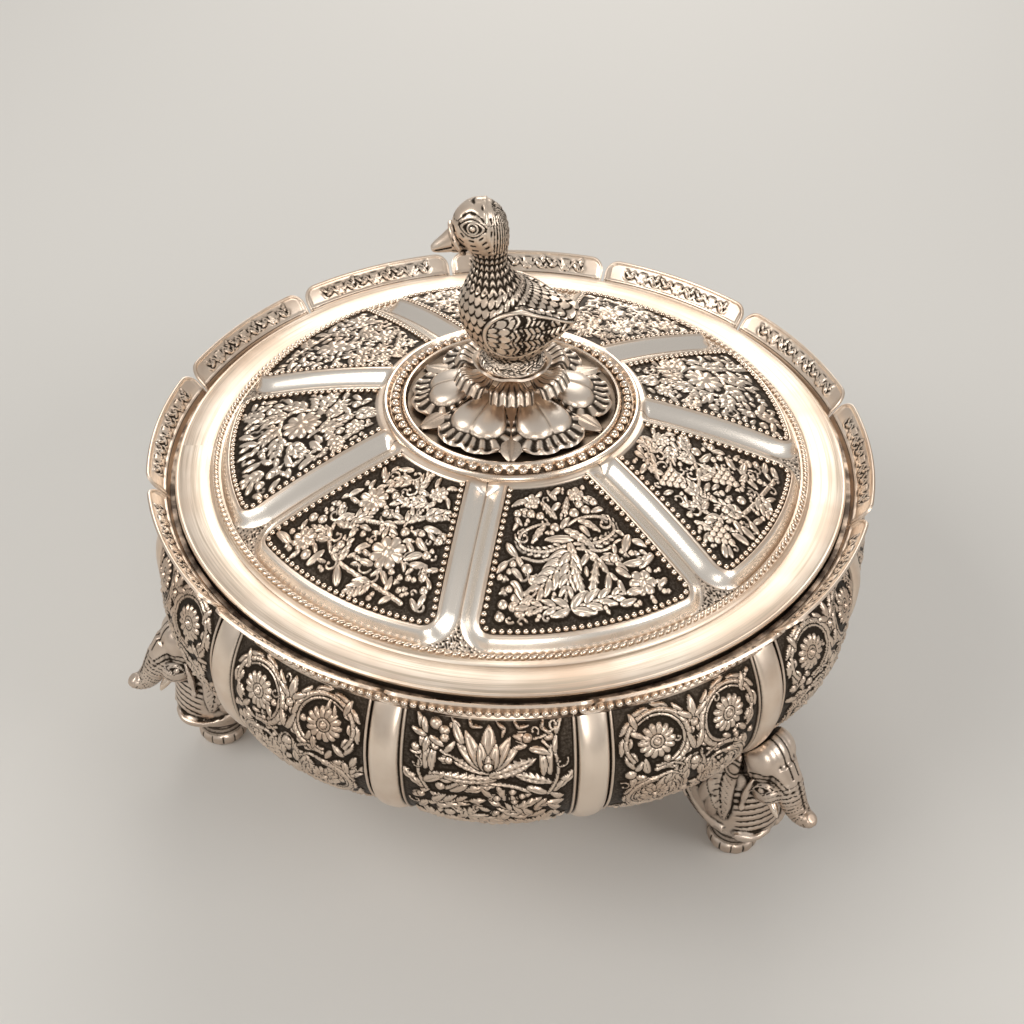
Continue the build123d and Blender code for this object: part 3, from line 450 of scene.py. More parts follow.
def plate(name, top, bottom, tarnish_and_painted_light, coarse_rows, coarse_columns, finish=None):
    """Closed piece of sheet: a fine face, a coarse back with the same edge, and walls between.

    top and bottom are (rows, columns, 3) in millimetres; rows x columns turns right-handed outwards."""
    rows, columns = top.shape[:2]
    index = np.arange(rows * columns).reshape(rows, columns)
    quads = np.stack([index[:-1, :-1], index[1:, :-1], index[1:, 1:], index[:-1, 1:]], -1).reshape(-1, 4)
    row_marks = np.unique(np.linspace(0, rows - 1, coarse_rows + 1).astype(int))
    column_marks = np.unique(np.linspace(0, columns - 1, coarse_columns + 1).astype(int))
    kept = np.zeros((rows, columns), bool)
    kept[0], kept[-1], kept[:, 0], kept[:, -1] = True, True, True, True
    kept[np.ix_(row_marks, column_marks)] = True
    below = np.full((rows, columns), -1)
    below[kept] = rows * columns + np.arange(kept.sum())
    back = []
    for r0, r1 in zip(row_marks, row_marks[1:]):
        for c0, c1 in zip(column_marks, column_marks[1:]):
            near = below[r0, c0 : c1 + 1] if r0 == 0 else below[r0, [c0, c1]]
            right = below[r0 + 1 : r1, c1] if c1 == columns - 1 else []
            far = below[r1, c0 : c1 + 1] if r1 == rows - 1 else below[r1, [c0, c1]]
            left = below[r0 + 1 : r1, c0] if c0 == 0 else []
            back.append([*near, *right, *far[::-1], *left[::-1]])
    rim_top, rim_below = (
        np.concatenate([grid[0, :-1], grid[:-1, -1], grid[-1, :0:-1], grid[:0:-1, 0]]) for grid in (index, below)
    )
    walls = np.stack([rim_top, np.roll(rim_top, -1), np.roll(rim_below, -1), rim_below], -1)
    points = np.concatenate([top.reshape(-1, 3), bottom[kept]]) * MM
    mesh = bpy.data.meshes.new(name)
    mesh.from_pydata(points.tolist(), [], quads.tolist() + walls.tolist() + back)
    smooth = np.ones(len(mesh.polygons), bool)
    smooth[len(quads) : len(quads) + len(walls)] = False
    mesh.polygons.foreach_set("use_smooth", smooth)
    mesh.update()
    return new_object(name, mesh, np.concatenate([tarnish_and_painted_light.ravel(), np.full(kept.sum(), 0.25)]), finish)


def turned(radius, azimuth, height):
    """Points at radii and azimuths (degrees from the front, positive to the right)."""
    angle = np.radians(azimuth)
    return np.stack(np.broadcast_arrays(radius * np.sin(angle), -radius * np.cos(angle), height), -1)


def ramp(low, high, values):
    """0 at low, 1 at high, smooth between; falls where high is the smaller."""
    share = clamp((values - low) / (high - low))
    return share * share * (3 - 2 * share)


def ridge(values, middle, width):
    """1 at the middle and fading to both sides of it."""
    return np.exp(-(((values - middle) / width) ** 2))


dome_curve = np.polyfit(*zip(DOME_SHOULDER, DOME_MIDDLE, DOME_TOP), 2)


def panel_surface(radius, offset, span):
    """Height of a bare pillow, share of its bevel climbed, distance from its outline, and the bevel's width.

    offset is the azimuth from the pillow's middle; the share is 0 on the outline and 1 on the flat top."""
    dome = np.polyval(dome_curve, radius)
    split_gap = radius * np.sin(np.radians(span / 2 - np.abs(offset)))
    edge_gap = DOME_EDGE - radius
    corner = (split_gap < CORNER_RADIUS) & (edge_gap < CORNER_RADIUS)
    gap = np.minimum(split_gap, edge_gap)
    reach = np.hypot(CORNER_RADIUS - split_gap, CORNER_RADIUS - edge_gap)
    gap = np.where(corner, CORNER_RADIUS - reach, gap)
    facing = np.where(corner, (CORNER_RADIUS - edge_gap) / np.maximum(reach, 1e-6), edge_gap < split_gap)
    bevel = GROOVE_HALF_WIDTH + (OUTER_BEVEL - GROOVE_HALF_WIDTH) * facing**2
    inside = gap / bevel
    foot = np.where(facing > 0, DOME_FOOT + 0.35 * np.clip(edge_gap, 0, 12), 0)
    drop = GROOVE_DEPTH * (1 - facing**2) + (dome - foot) * facing**2
    drop = np.where(facing > 0, drop, GROOVE_DEPTH)
    rise = clamp(inside)
    rise = rise - 0.06 * np.sin(2 * pi * rise)
    inner_fade = ramp(44.0, 47.5, radius)
    height = dome - drop * (1 - rise) * np.maximum(inner_fade, 0.25)
    return RIM + height, inside, gap, bevel


def draw_front_panel(sheet, at):
    """Crossed leaves with two ribbed horns that roll up on either side, over a broad serrated spray."""
    horn = ((0.06, 0.46), (0.4, 0.49), (0.72, 0.45), (0.8, 0.36), (0.62, 0.29), (0.3, 0.27), (0.02, 0.31))
    tendril = ((0.1, 0.5), (0.45, 0.56), (0.75, 0.52), (0.93, 0.56))

    def leaf(u, v, angle, length, width, bend=0.0, teeth=0):
        sheet.leaf(*at(u, v), angle, length, width, bend, teeth)

    for way in (-1, 1):
        smooth = curve_through([at(way * u + 0.03, v) for u, v in horn], 40)
        for number, (x, y) in enumerate(smooth[2:24]):
            sheet.berry(x, y, 2.3 - 0.05 * number if number % 2 else 1.6, 0.95)
        sheet.stem(smooth, 1.2, 0.7, 0.4)
        leaf(way * 0.3, 0.28, 90 - way * 60, 8, 3.4, way * 0.2, 3)
        sheet.stem(curve_through([at(way * u, v) for u, v in tendril], 20))
        leaf(way * 0.9, 0.55, 90 - way * 60, 6, 2.6)
        leaf(way * 0.2, 0.52, 90 - way * 38, 11, 4.0, way * 0.15, 4)
        sheet.bud(*at(way * 0.62, 0.66), 60 if way < 0 else 190, 4.6)
        sheet.flower(*at(way * 0.68, 0.87), 4.4, 6)
        sheet.curl(*at(way * 0.86, 0.34), 90 + way * 60, 3.0, way)
        leaf(way * 0.07, 0.24, 270 + way * 24, 8.5, 3.6, 0, 5)
        sheet.bud(*at(way * 0.45, 0.2), 250 + way * 30, 4.0)
        sheet.flower(*at(way * 0.55, 0.07), 2.8, 5)
    leaf(0.02, 0.43, 92, 9.5, 3.6)
    leaf(0.12, 0.42, 184, 9.5, 3.4, 0.1)
    leaf(0.0, 0.33, 40, 11, 4.6, 0.1, 4)
    sheet.spray(*at(-0.02, 0.52), 136, 19, 8.5, 5, 0.12)
    sheet.spray(*at(0.0, 0.53), 110, 15, 7.0, 4, 0.05)
    leaf(0.0, 0.86, 262, 13, 4.6, 0.1, 5)
    leaf(0.06, 0.87, 300, 13, 4.4, -0.1, 5)
    sheet.spray(*at(-0.16, 0.93), 350, 18, 7.5, 4, 0.06)
    sheet.spray(*at(-0.2, 0.93), 200, 12, 6.0, 3, -0.1)


def curve_through(points, count):
    """Smooth open curve through points."""
    points = np.asarray(points, float)
    padded = np.vstack([2 * points[0] - points[1], points, 2 * points[-1] - points[-2]])
    made = []
    for place in np.linspace(0, len(points) - 1 - 1e-9, count):
        step, t = int(place), place % 1.0
        a, b, c, d = padded[step : step + 4]
        square, cube = 2 * a - 5 * b + 4 * c - d, 3 * b - a - 3 * c + d
        made.append(0.5 * (2 * b + (c - a) * t + square * t**2 + cube * t**3))
    return np.array(made)


def draw_scroll_panel(sheet, at, side, grapes):
    """Vine in an S with sprays on its outer sides and a flower or grapes in each bay."""
    path = ((-0.7, 0.97), (0.25, 0.86), (0.62, 0.62), (0.0, 0.47), (-0.58, 0.3), (-0.1, 0.12), (0.5, 0.06))
    bays = ((-0.3, 0.66, 6.0), (0.48, 0.36, 5.0), (0.72, 0.88, 4.2), (-0.62, 0.1, 3.2))
    buds = ((0.85, 0.5, 60), (-0.85, 0.8, 250), (-0.86, 0.5, 290), (0.3, 0.72, 100))
    vine = curve_through([at(u * side, v) for u, v in path], 60)
    sheet.stem(vine, 1.5, 0.8, 0.4)
    for number in range(4, 56, 5):
        x, y = vine[number]
        heading = np.degrees(atan2(*(vine[number + 1] - vine[number])[::-1]))
        way = 1 if number % 2 else -1
        sheet.spray(x, y, heading + way * 42, 8.0, 6.0 - 0.03 * number, 3, way * 0.3)
        sheet.curl(x, y, heading - way * 70, 2.6, way)
    for u, v, radius in bays:
        x, y = at(u * side, v)
        if grapes and v > 0.3:
            for row in range(4):
                for place in range(4 - row):
                    sheet.berry(x + (place - (3 - row) / 2) * 2.3, y + row * 2.0 - 3, 1.25)
            sheet.leaf(x, y - 4, 250, 6, 4, 0.2, 3)
        else:
            sheet.flower(x, y, radius, 8)
            for turn in range(0, 360, 72):
                root = (x + radius * 0.9 * cos(radians(turn)), y + radius * 0.9 * sin(radians(turn)))
                sheet.leaf(*root, turn + 25, 4.2, 2.0, 0.3)
    for u, v, angle in buds:
        sheet.bud(*at(u * side, v), angle, 4.0)


def draw_spiral_panel(sheet, at, side):
    """Large flower spiralling out of a ribbed stem, with sprays all round."""
    x, y = at(0.15 * side, 0.52)
    sheet.flower(x, y, 7.0, 10)
    ring = []
    for turn in np.linspace(0.4, 6.0, 40):
        reach = 8.6 + 0.9 * sin(3 * turn)
        ring.append((x + reach * cos(turn), y + reach * sin(turn)))
    sheet.stem(ring, 1.5, 0.8, 0.3)
    for number in range(0, 40, 5):
        px, py = ring[number]
        turn = np.degrees(atan2(py - y, px - x))
        sheet.spray(px, py, turn + 35 * side, 9.0, 6.0, 3, 0.35 * side)
    for u, v, angle in ((-0.72, 0.85, 300), (0.74, 0.86, 240), (-0.7, 0.35, 20), (0.0, 0.1, 90), (0.7, 0.3, 160)):
        sheet.bud(*at(u, v), angle, 4.6)
        sheet.spray(*at(u * 0.8, v), angle + 180, 8.0, 5.5, 3, 0.2)
    sheet.flower(*at(-0.5 * side, 0.12), 3.6, 6)


PANEL_INNER = 43.0
FIELD_START = 49.0
FIELD_LENGTH = 44.5
FIELD_MARGIN = 9.5
PLANT_INNER = 47.5
PLANT_HEIGHT = 1.5
FIELD_SUNK = 0.55
PANEL_SHEET = 1.25
chased_silver = chased_finish("chased_silver")
for number, (span, middle) in enumerate(zip(PANEL_SPANS, PANEL_MIDDLES)):
    # The three panels in front, which are seen closest, have a finer grid
    row_count, column_count = (206, 290) if number in (0, 1, 7) else (132, 174)
    rows = np.linspace(PANEL_INNER, DOME_EDGE, row_count)
    columns = np.linspace(-span / 2, span / 2, column_count)
    radius, offset = np.meshgrid(rows, columns, indexing="ij")
    base, inside, gap, bevel = panel_surface(radius, offset, span)
    x, y = radius * np.sin(np.radians(offset)), radius * np.cos(np.radians(offset))
    sheet = Chasing(x, y, 40 + number)

    def at(u, v):
        """Place on this panel: u from -1 to 1 across the plant's field, v from 0 to 1 outwards."""
        reach = FIELD_START + FIELD_LENGTH * v
        turn = radians(u * (span / 2 - np.degrees(FIELD_MARGIN / reach)))
        return reach * sin(turn), reach * cos(turn)

    if number == 0:
        draw_front_panel(sheet, at)
    elif number in (2, 6):
        draw_spiral_panel(sheet, at, 1 if number == 2 else -1)
    else:
        draw_scroll_panel(sheet, at, (1, -1)[number % 2], number == 1)
    past_bevel = gap - bevel
    sheet.fill((gap > bevel + 3.4) & (radius > PLANT_INNER), 6.4, 2.4, 2600)
    sheet.height *= ramp(0.0, 0.9, past_bevel - 2.9) * ramp(46.6, 47.6, radius)
    sheet.height = soften(sheet.height, 1)
    # Raised line and sunk field around the plant, and scrolls between line and corner
    outline = ridge(past_bevel, 0.75, 0.36) * ramp(45.5, 46.2, radius)
    sunk = FIELD_SUNK * ramp(0.9, 1.6, past_bevel) * ramp(46.0, 46.8, radius)
    scroll = (inside < 0) & (radius > 88)
    fret = 0.5 + 0.5 * np.sin(x * 3.1 + 1.4 * np.sin(y * 2.3)) * np.sin(y * 2.9 + 1.2 * np.sin(x * 2.1))
    height = base + PLANT_HEIGHT * sheet.height - sunk + 0.5 * outline + np.where(scroll, 0.55 * fret, 0)
    # Black in the field, with painted shade close under the relief's edges, beside its line, along the splits
    # between panels and at the rounded corners
    tarnish_and_painted_light = sheet.tarnish_and_painted_light(0.75) * ramp(1.2, 1.9, past_bevel) * ramp(46.2, 46.9, radius)
    tarnish_and_painted_light = np.maximum(tarnish_and_painted_light, ridge(past_bevel, 1.35, 0.3) * ramp(45.5, 46.2, radius))
    split_gap = radius * np.radians(span / 2 - np.abs(offset))
    tarnish_and_painted_light = np.maximum(tarnish_and_painted_light, 0.75 * ridge(split_gap, 0, 0.35) * (inside > -0.2))
    tarnish_and_painted_light = np.maximum(tarnish_and_painted_light, 0.6 * ridge(gap, 0, 0.45) * (inside < 0.3) * (radius > 80))
    tarnish_and_painted_light = np.where(scroll, clamp(1.15 - 1.5 * fret), tarnish_and_painted_light)
    # Painted highlight: the groove walls and bevels are drawn in the polished colour
    tarnish_and_painted_light = np.where(scroll, tarnish_and_painted_light, tarnish_and_painted_light - 0.3 * ramp(1.02, 0.9, inside) * ramp(45.0, 47.0, radius))
    outer = turned(radius, middle + offset, height)
    inner = turned(radius, middle + offset, base - PANEL_SHEET)
    panel = plate(f"lid_panel_{number + 1}", outer, inner, tarnish_and_painted_light, 18, 20, chased_silver)
    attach(panel, "lid")
    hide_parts("lid_dome")


# Bead strings of the lid: half-round silver beads chased in a row just inside each pillow's
# raised line.
def repeat_tree(name):
    """Node tree that sets a bead at every point of a path, turned to the path's directions, and makes it solid."""
    tree = bpy.data.node_groups.new(name, "GeometryNodeTree")
    tree.is_modifier = True
    for title, kind in (
        ("Path", "Geometry"), ("Size", "Float"), ("Length", "Float"), ("Tilt", "Float"), ("Facets", "Int"),
        ("Finish", "Material"),
    ):
        tree.interface.new_socket(title, in_out="INPUT", socket_type="NodeSocket" + kind)
    tree.interface.new_socket("Shapes", in_out="OUTPUT", socket_type="NodeSocketGeometry")

    def node(kind, **sources):
        """New node with outputs of others linked to its inputs; _ stands for a blank in an input's name."""
        made = tree.nodes.new(kind)
        for title, source in sources.items():
            tree.links.new(source, made.inputs[title.replace("_", " ")])
        return made

    given = node("NodeGroupInput").outputs
    bead = node("GeometryNodeMeshUVSphere", Segments=given["Facets"])
    bead.inputs["Rings"].default_value = 6
    bead.inputs["Radius"].default_value = 0.5
    stored = {}
    for title in ("along", "upright"):
        attribute = node("GeometryNodeInputNamedAttribute")
        attribute.data_type = "FLOAT_VECTOR"
        attribute.inputs["Name"].default_value = title
        stored[title] = attribute.outputs["Attribute"]
    turn = node("FunctionNodeAxesToRotation", Primary_Axis=stored["upright"], Secondary_Axis=stored["along"])
    turn.primary_axis, turn.secondary_axis = "Z", "X"
    lean = node("FunctionNodeAxisAngleToRotation", Angle=given["Tilt"])
    lean.inputs["Axis"].default_value = (0, 0, 1)
    tilt = node("FunctionNodeRotateRotation", Rotation=turn.outputs[0], Rotate_By=lean.outputs[0])
    tilt.rotation_space = "LOCAL"
    scale = node("ShaderNodeCombineXYZ", X=given["Length"], Y=given["Size"], Z=given["Size"])
    beads = node("GeometryNodeInstanceOnPoints", Points=given["Path"], Instance=bead.outputs["Mesh"])
    tree.links.new(tilt.outputs[0], beads.inputs["Rotation"])
    tree.links.new(scale.outputs[0], beads.inputs["Scale"])
    solid = node("GeometryNodeRealizeInstances", Geometry=beads.outputs[0])
    smooth = node("GeometryNodeSetShadeSmooth", Geometry=solid.outputs[0])
    paint = node("GeometryNodeSetMaterial", Geometry=smooth.outputs[0], Material=given["Finish"])
    node("NodeGroupOutput", Shapes=paint.outputs[0])
    return tree


def strung(name, points, along, upright, finish, size, length=None, tilt=0.0, facets=10):
    """One piece of beads or lays of wire at points, each turned to its own directions; sizes in mm."""
    mesh = bpy.data.meshes.new(name + "_path")
    mesh.from_pydata((np.asarray(points) * MM).tolist(), [], [])
    for title, directions in (("along", along), ("upright", upright)):
        stored = mesh.attributes.new(title, "FLOAT_VECTOR", "POINT")
        stored.data.foreach_set("vector", np.asarray(directions, float).ravel())
    path = bpy.data.objects.new(name + "_path", mesh)
    scene.collection.objects.link(path)
    tree = bpy.data.node_groups.get("strung") or repeat_tree("strung")
    modifier = path.modifiers.new("strung", "NODES")
    modifier.node_group = tree
    sizes = {"Size": size * MM, "Length": (length or size) * MM, "Tilt": tilt, "Facets": facets, "Finish": finish}
    for item in tree.interface.items_tree:
        if item.in_out == "INPUT" and item.name in sizes:
            modifier[item.identifier] = sizes[item.name]
    evaluated = path.evaluated_get(bpy.context.evaluated_depsgraph_get())
    solid = bpy.data.meshes.new_from_object(evaluated)
    path.modifiers.remove(modifier)
    bpy.data.objects.remove(path)
    bpy.data.meshes.remove(mesh)
    solid.name = name
    solid.materials.clear()
    return new_object(name, solid, finish=finish)


def round_string(name, radius, height, count, finish, size, length, tilt=0.0, facets=10):
    """Beads or lays evenly round a circle about the box's axis."""
    azimuths = np.arange(count) * 360 / count
    angle = np.radians(azimuths)
    along = np.stack([np.cos(angle), np.sin(angle), 0 * angle], -1)
    upright = np.tile((0.0, 0.0, 1.0), (count, 1))
    return strung(name, turned(radius, azimuths, height), along, upright, finish, size, length, tilt, facets)


def wire_finish(name, tint, roughness):
    """Worn silver wire and beads, a little darker and duller in patches."""
    finish = Finish(name)
    place = finish.place()
    cloud = finish.noise(place, 160.0, 3.0)
    finish.set(Base_Color=finish.mix(cloud.between(0.35, 0.75), tint, WARM_SILVER))
    finish.set(Roughness=roughness + 0.12 * cloud)
    return finish.material


BEAD_SIZE = 2.0
BEAD_SPACING = 2.4
BEADS_PAST_BEVEL = 2.25
bead_silver = wire_finish("bead_silver", BRIGHT_SILVER, 0.16)
for number, (span, middle) in enumerate(zip(PANEL_SPANS, PANEL_MIDDLES)):
    def inset_point(radius, offset):
        base, _, gap, bevel = panel_surface(np.array(radius), np.array(offset), span)
        return base, gap - bevel

    # Half of the path: outwards along one side, found by halving, then across to the middle
    half_trail = []
    for reach in np.arange(47.6, 97.0, 0.25):
        low, high = 0.0, span / 2
        for _ in range(18):
            between = (low + high) / 2
            if inset_point(reach, between)[1] > BEADS_PAST_BEVEL:
                low = between
            else:
                high = between
        if low > 0.3:
            half_trail.append((reach, low))
    last_reach, last_turn = half_trail[-1]
    half_trail += [(last_reach + 0.06, turn) for turn in np.linspace(last_turn, 0, 60)[1:]]
    whole = half_trail + [(r, -o) for r, o in half_trail[::-1][1:]]
    flat = np.array([(r * sin(radians(o)), r * cos(radians(o))) for r, o in whole])
    run = np.concatenate([[0], np.cumsum(np.hypot(*np.diff(flat, axis=0).T))])
    count = int(run[-1] / BEAD_SPACING)
    marks = np.linspace(0, run[-1], count)
    reach = np.interp(marks, run, [r for r, _ in whole])
    turn = np.interp(marks, run, [o for _, o in whole])
    height = np.array([inset_point(r, o)[0] for r, o in zip(reach, turn)])
    points = turned(reach, middle + turn, height)
    along = np.gradient(points, axis=0)
    upright = np.tile((0.0, 0.0, 1.0), (count, 1)) + 0.28 * turned(np.ones(count), middle + turn, 0.0)
    beads = strung(f"panel_beads_{number + 1}", points, along, upright, bead_silver, BEAD_SIZE)
    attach(beads, "lid")


# Border of the lid: flat silver ring, brushed round and round on a lathe, with a rolled outer edge
# and a narrow step where the twisted wire lies.
def lathe(name, profile, turns=240, tarnish_and_painted_light=0.0, shape=None, finish=None):
    """Ring or dish turned from a closed profile of radius and height; shape makes it other than round."""
    profile = np.asarray(profile, float)
    closed = not (profile[0][0] < 1e-6 and profile[-1][0] < 1e-6)
    azimuths = np.arange(turns) * 360 / turns
    points, faces, index = [], [], []
    for radius, height in profile:
        if radius < 1e-6:
            index.append([len(points)] * turns)
            points.append((0, 0, height))
        else:
            index.append(list(range(len(points), len(points) + turns)))
            points.extend(turned(radius * (shape(azimuths) if shape else 1.0), azimuths, height).tolist())
    pairs = list(zip(index, index[1:] + index[:1])) if closed else list(zip(index, index[1:]))
    for this, after in pairs:
        for step in range(turns):
            there = (step + 1) % turns
            corners = list(dict.fromkeys([this[step], this[there], after[there], after[step]]))
            if len(corners) > 2:
                faces.append(corners)
    mesh = bpy.data.meshes.new(name)
    mesh.from_pydata((np.array(points) * MM).tolist(), [], faces)
    mesh.polygons.foreach_set("use_smooth", np.ones(len(faces), bool))
    mesh.set_sharp_from_angle(angle=radians(35.0))
    return new_object(name, mesh, np.full(len(points), tarnish_and_painted_light), finish)


def brushed_finish(name, tint=BRIGHT_SILVER, roughness=0.4, depth=0.3):
    """Silver brushed round the axis: long fine streaks that follow the circle."""
    finish = Finish(name)
    place = finish.place()
    x, y, z = (finish.node("ShaderNodeSeparateXYZ", inputs={0: place}, output=axis) for axis in range(3))
    radius = (x * x + y * y) ** 0.5
    angle = x.reckon("ARCTAN2", y, x)
    streaks = finish.node("ShaderNodeCombineXYZ", inputs={0: radius * 2600.0, 1: angle * 3.2, 2: z * 2600.0})
    broad = finish.node("ShaderNodeCombineXYZ", inputs={0: radius * 1000.0, 1: angle * 2.4, 2: z * 900.0})
    fine = finish.noise(streaks, 1.0, 3.0, 0.7)
    coarse = finish.noise(broad, 1.0, 2.0, 0.5)
    cloud = finish.noise(place, 28.0, 3.0)
    warm = finish.mix(cloud.between(0.3, 0.72), tint, WARM_SILVER)
    lined = finish.mix((fine * 0.4 + coarse * 0.6).between(0.36, 0.56), (0.6, 0.5, 0.4), warm)
    finish.set(Base_Color=lined)
    finish.set(Roughness=roughness + 0.16 * (fine - 0.5) + 0.08 * cloud)
    finish.bump(fine + coarse * 0.5, depth, 0.00006)
    return finish.material


# The border's tint is lighter than the other silver: a painted sheen for the back lamp's light on it
brushed_border_painted_sheen = brushed_finish("brushed_border_painted_sheen", (0.95, 0.85, 0.74))
border = lathe(
    "lid_border_ring",
    [
        (100.9, 112.8), (116.4, 112.8), (116.75, 113.2), (116.6, 113.75), (116.1, 114.05), (115.6, 113.85),
        (115.35, 113.95), (110.0, 114.02), (105.4, 113.98), (104.9, 113.7), (104.5, 113.95),
        (104.1, 114.5), (103.7, 115.2), (101.6, 115.2), (100.9, 115.0),
    ],
    finish=brushed_border_painted_sheen,
)
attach(border, "lid")
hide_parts("lid_border")

# Rope wire: two silver wires twisted together, soldered on the step between border and dome.
rope_silver = wire_finish("rope_silver", BRIGHT_SILVER, 0.2)
rope = round_string("rope_lays", 102.55, 115.75, 250, rope_silver, 1.35, 3.4, 0.52, 8)
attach(rope, "lid")
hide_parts("rope_wire")

# Middle of the lid: a plate turned with two thin ridges; the sunk ring between them and the middle
# are blackened, and a row of beads stands in the ring.
sunk_silver = Finish("sunk_silver", roughness=0.42)
sunk_cloud = sunk_silver.noise(sunk_silver.place(), 90.0, 4.0)
sunk_silver.set(Base_Color=sunk_silver.mix(sunk_cloud.between(0.3, 0.7), (0.09, 0.068, 0.05), (0.2, 0.15, 0.11)))
polished_silver = wire_finish("burnished_ring_silver", BRIGHT_SILVER, 0.2)
middle_plate = lathe(
    "middle_plate",
    [
        (0, 133.7), (44.2, 133.7), (44.2, 136.3), (43.9, 137.1), (43.3, 137.6), (42.7, 137.5), (42.2, 136.9),
        (41.9, 136.3), (41.4, 136.0), (38.0, 136.1), (37.7, 136.6), (37.4, 137.5), (36.9, 137.9), (36.3, 137.7),
        (35.9, 136.8), (35.5, 136.2), (34.4, 135.9), (0, 135.9),
    ],
    200,
    finish=polished_silver,
)
middle_plate.data.materials.append(sunk_silver.material)
for polygon in middle_plate.data.polygons:
    reach = Vector(polygon.center[:2]).length / MM
    if 37.9 < reach < 41.5 or reach < 35.6:
        polygon.material_index = 1
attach(middle_plate, "lid")
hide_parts("centre_ring")
centre_string = round_string("centre_bead_row", 39.7, 136.7, 60, bead_silver, 2.9, 3.3, 0.0, 14)
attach(centre_string, "lid")
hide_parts("centre_beads")


# Lotus at the foot of the duck: cast silver petals in two tiers on a small waist. The lower tier has six
# smooth heart-shaped cushions on fluted rims over six pointed leaves; the upper tier is fluted.
def petal_sheet(name, rows, columns, surface, thickness, tarnish_and_painted_light):
    """Closed petal: surface(along 0..1, across -1..1) gives points; the back lies below by thickness."""
    along, across = np.meshgrid(np.linspace(0, 1, rows), np.linspace(-1, 1, columns), indexing="ij")
    top = surface(along, across)
    down_rows = np.gradient(top, axis=0)
    down_columns = np.gradient(top, axis=1)
    facing = np.cross(down_rows, down_columns)
    facing /= np.maximum(np.linalg.norm(facing, axis=-1, keepdims=True), 1e-9)
    shade = tarnish_and_painted_light(along, across) if callable(tarnish_and_painted_light) else np.full(along.shape, tarnish_and_painted_light)
    return plate(name, top, top - facing * thickness, shade, 10, 8)


def joined(name, parts, finish):
    """One mesh of several."""
    together = bmesh.new()
    for part in parts:
        together.from_mesh(part.data)
        gone = part.data
        bpy.data.objects.remove(part)
        bpy.data.meshes.remove(gone)
    mesh = bpy.data.meshes.new(name)
    together.to_mesh(mesh)
    together.free()
    return new_object(name, mesh, finish=finish)


def cushion_share(along, across):
    """1 at the edge of a lower petal's smooth cushion, 0 in its middle."""
    return ((clamp(along) / 0.74) ** 4 + (np.abs(across) / 0.93) ** 4) ** 0.25


def rim_flutes(along, across):
    """Flutes of a lower petal's rim, which fan out from its middle; 1 on a rib, 0 in a groove."""
    fan = np.arctan2(across * 14.0, (along - 0.3) * 23.0)
    return 0.5 + 0.5 * np.cos(fan * 27.0)


def heart_surface(azimuth):
    """Lower petal: a smooth raised heart with a seam, stepped down to a fluted rim with a rolled edge."""
    def surface(along, across):
        edge = 1 - 0.13 * np.abs(across) ** 3 - 0.05 * ridge(across, 0, 0.16)
        radius = 10.5 + 24.0 * along * edge
        half = 29.5 * clamp(0.5 + 0.5 * np.sin(pi * clamp(along * 0.72) + 0.15))
        half *= np.sqrt(np.clip(1 - (clamp(along - 0.62) / 0.5) ** 2 * 0.42, 0.05, 1))
        share = cushion_share(along, across)
        cushion = domed(share, 10) * (1 - 0.16 * ridge(across, 0, 0.05))
        rim = ramp(1.0, 1.06, share) * ramp(1.0, 0.93, along)
        rise = 143.4 - 6.4 * along**1.7 - 1.2 * np.abs(across) ** 2.4 * np.sin(pi * clamp(along)) ** 0.7
        rise = rise + 2.2 * cushion + rim * 0.7 * rim_flutes(along, across)
        rise = rise + 1.1 * ridge(along, 0.97, 0.045) * (0.8 + 0.2 * rim_flutes(along, across))
        return turned(radius, azimuth + across * half, rise)

    return surface


def petal_shade(along, across):
    """Tarnish of a lower petal: dark round the cushion and in the flutes, bright on the cushion."""
    share = cushion_share(along, across)
    seam = 0.6 * ridge(across, 0, 0.03) * (share < 1)
    grooves = 0.85 - 0.75 * ramp(0.3, 0.8, rim_flutes(along, across))
    rim = ramp(0.99, 1.03, share) * grooves * ramp(1.0, 0.95, along)
    step = 0.85 * ridge(share, 1.02, 0.03)
    return clamp(np.maximum(rim, step) + seam) - 0.12 * (share < 0.93) * (seam < 0.1)


petal_silver = chased_finish("petal_silver", 0.2)
lower_petals = []
for azimuth in range(30, 360, 60):
    lower_petals.append(petal_sheet("petal", 60, 64, heart_surface(azimuth), 1.3, petal_shade))
for azimuth in range(0, 360, 60):
    def leaf_surface(along, across):
        radius = 20 + 15.0 * along
        half = 17.0 * (1 - along) ** 0.8 + 0.6
        rise = 139.2 + (136.6 - 139.2) * along**1.5 + 0.9 * (1 - np.abs(across)) - 0.7 * ridge(across, 0, 0.1)
        return turned(radius, azimuth + across * half, rise)

    lower_petals.append(petal_sheet("leaf", 16, 16, leaf_surface, 1.6, 0.35))
foot = [(0, 134.6), (26, 134.6), (27.5, 136.2), (24, 137.0), (14, 141.0), (10.5, 144.6), (0, 144.6)]
lower_petals.append(lathe("foot", foot, 72))
lower = joined("lotus_lower_petals", lower_petals, petal_silver)
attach(lower, "lid")
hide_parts("lower_lotus")

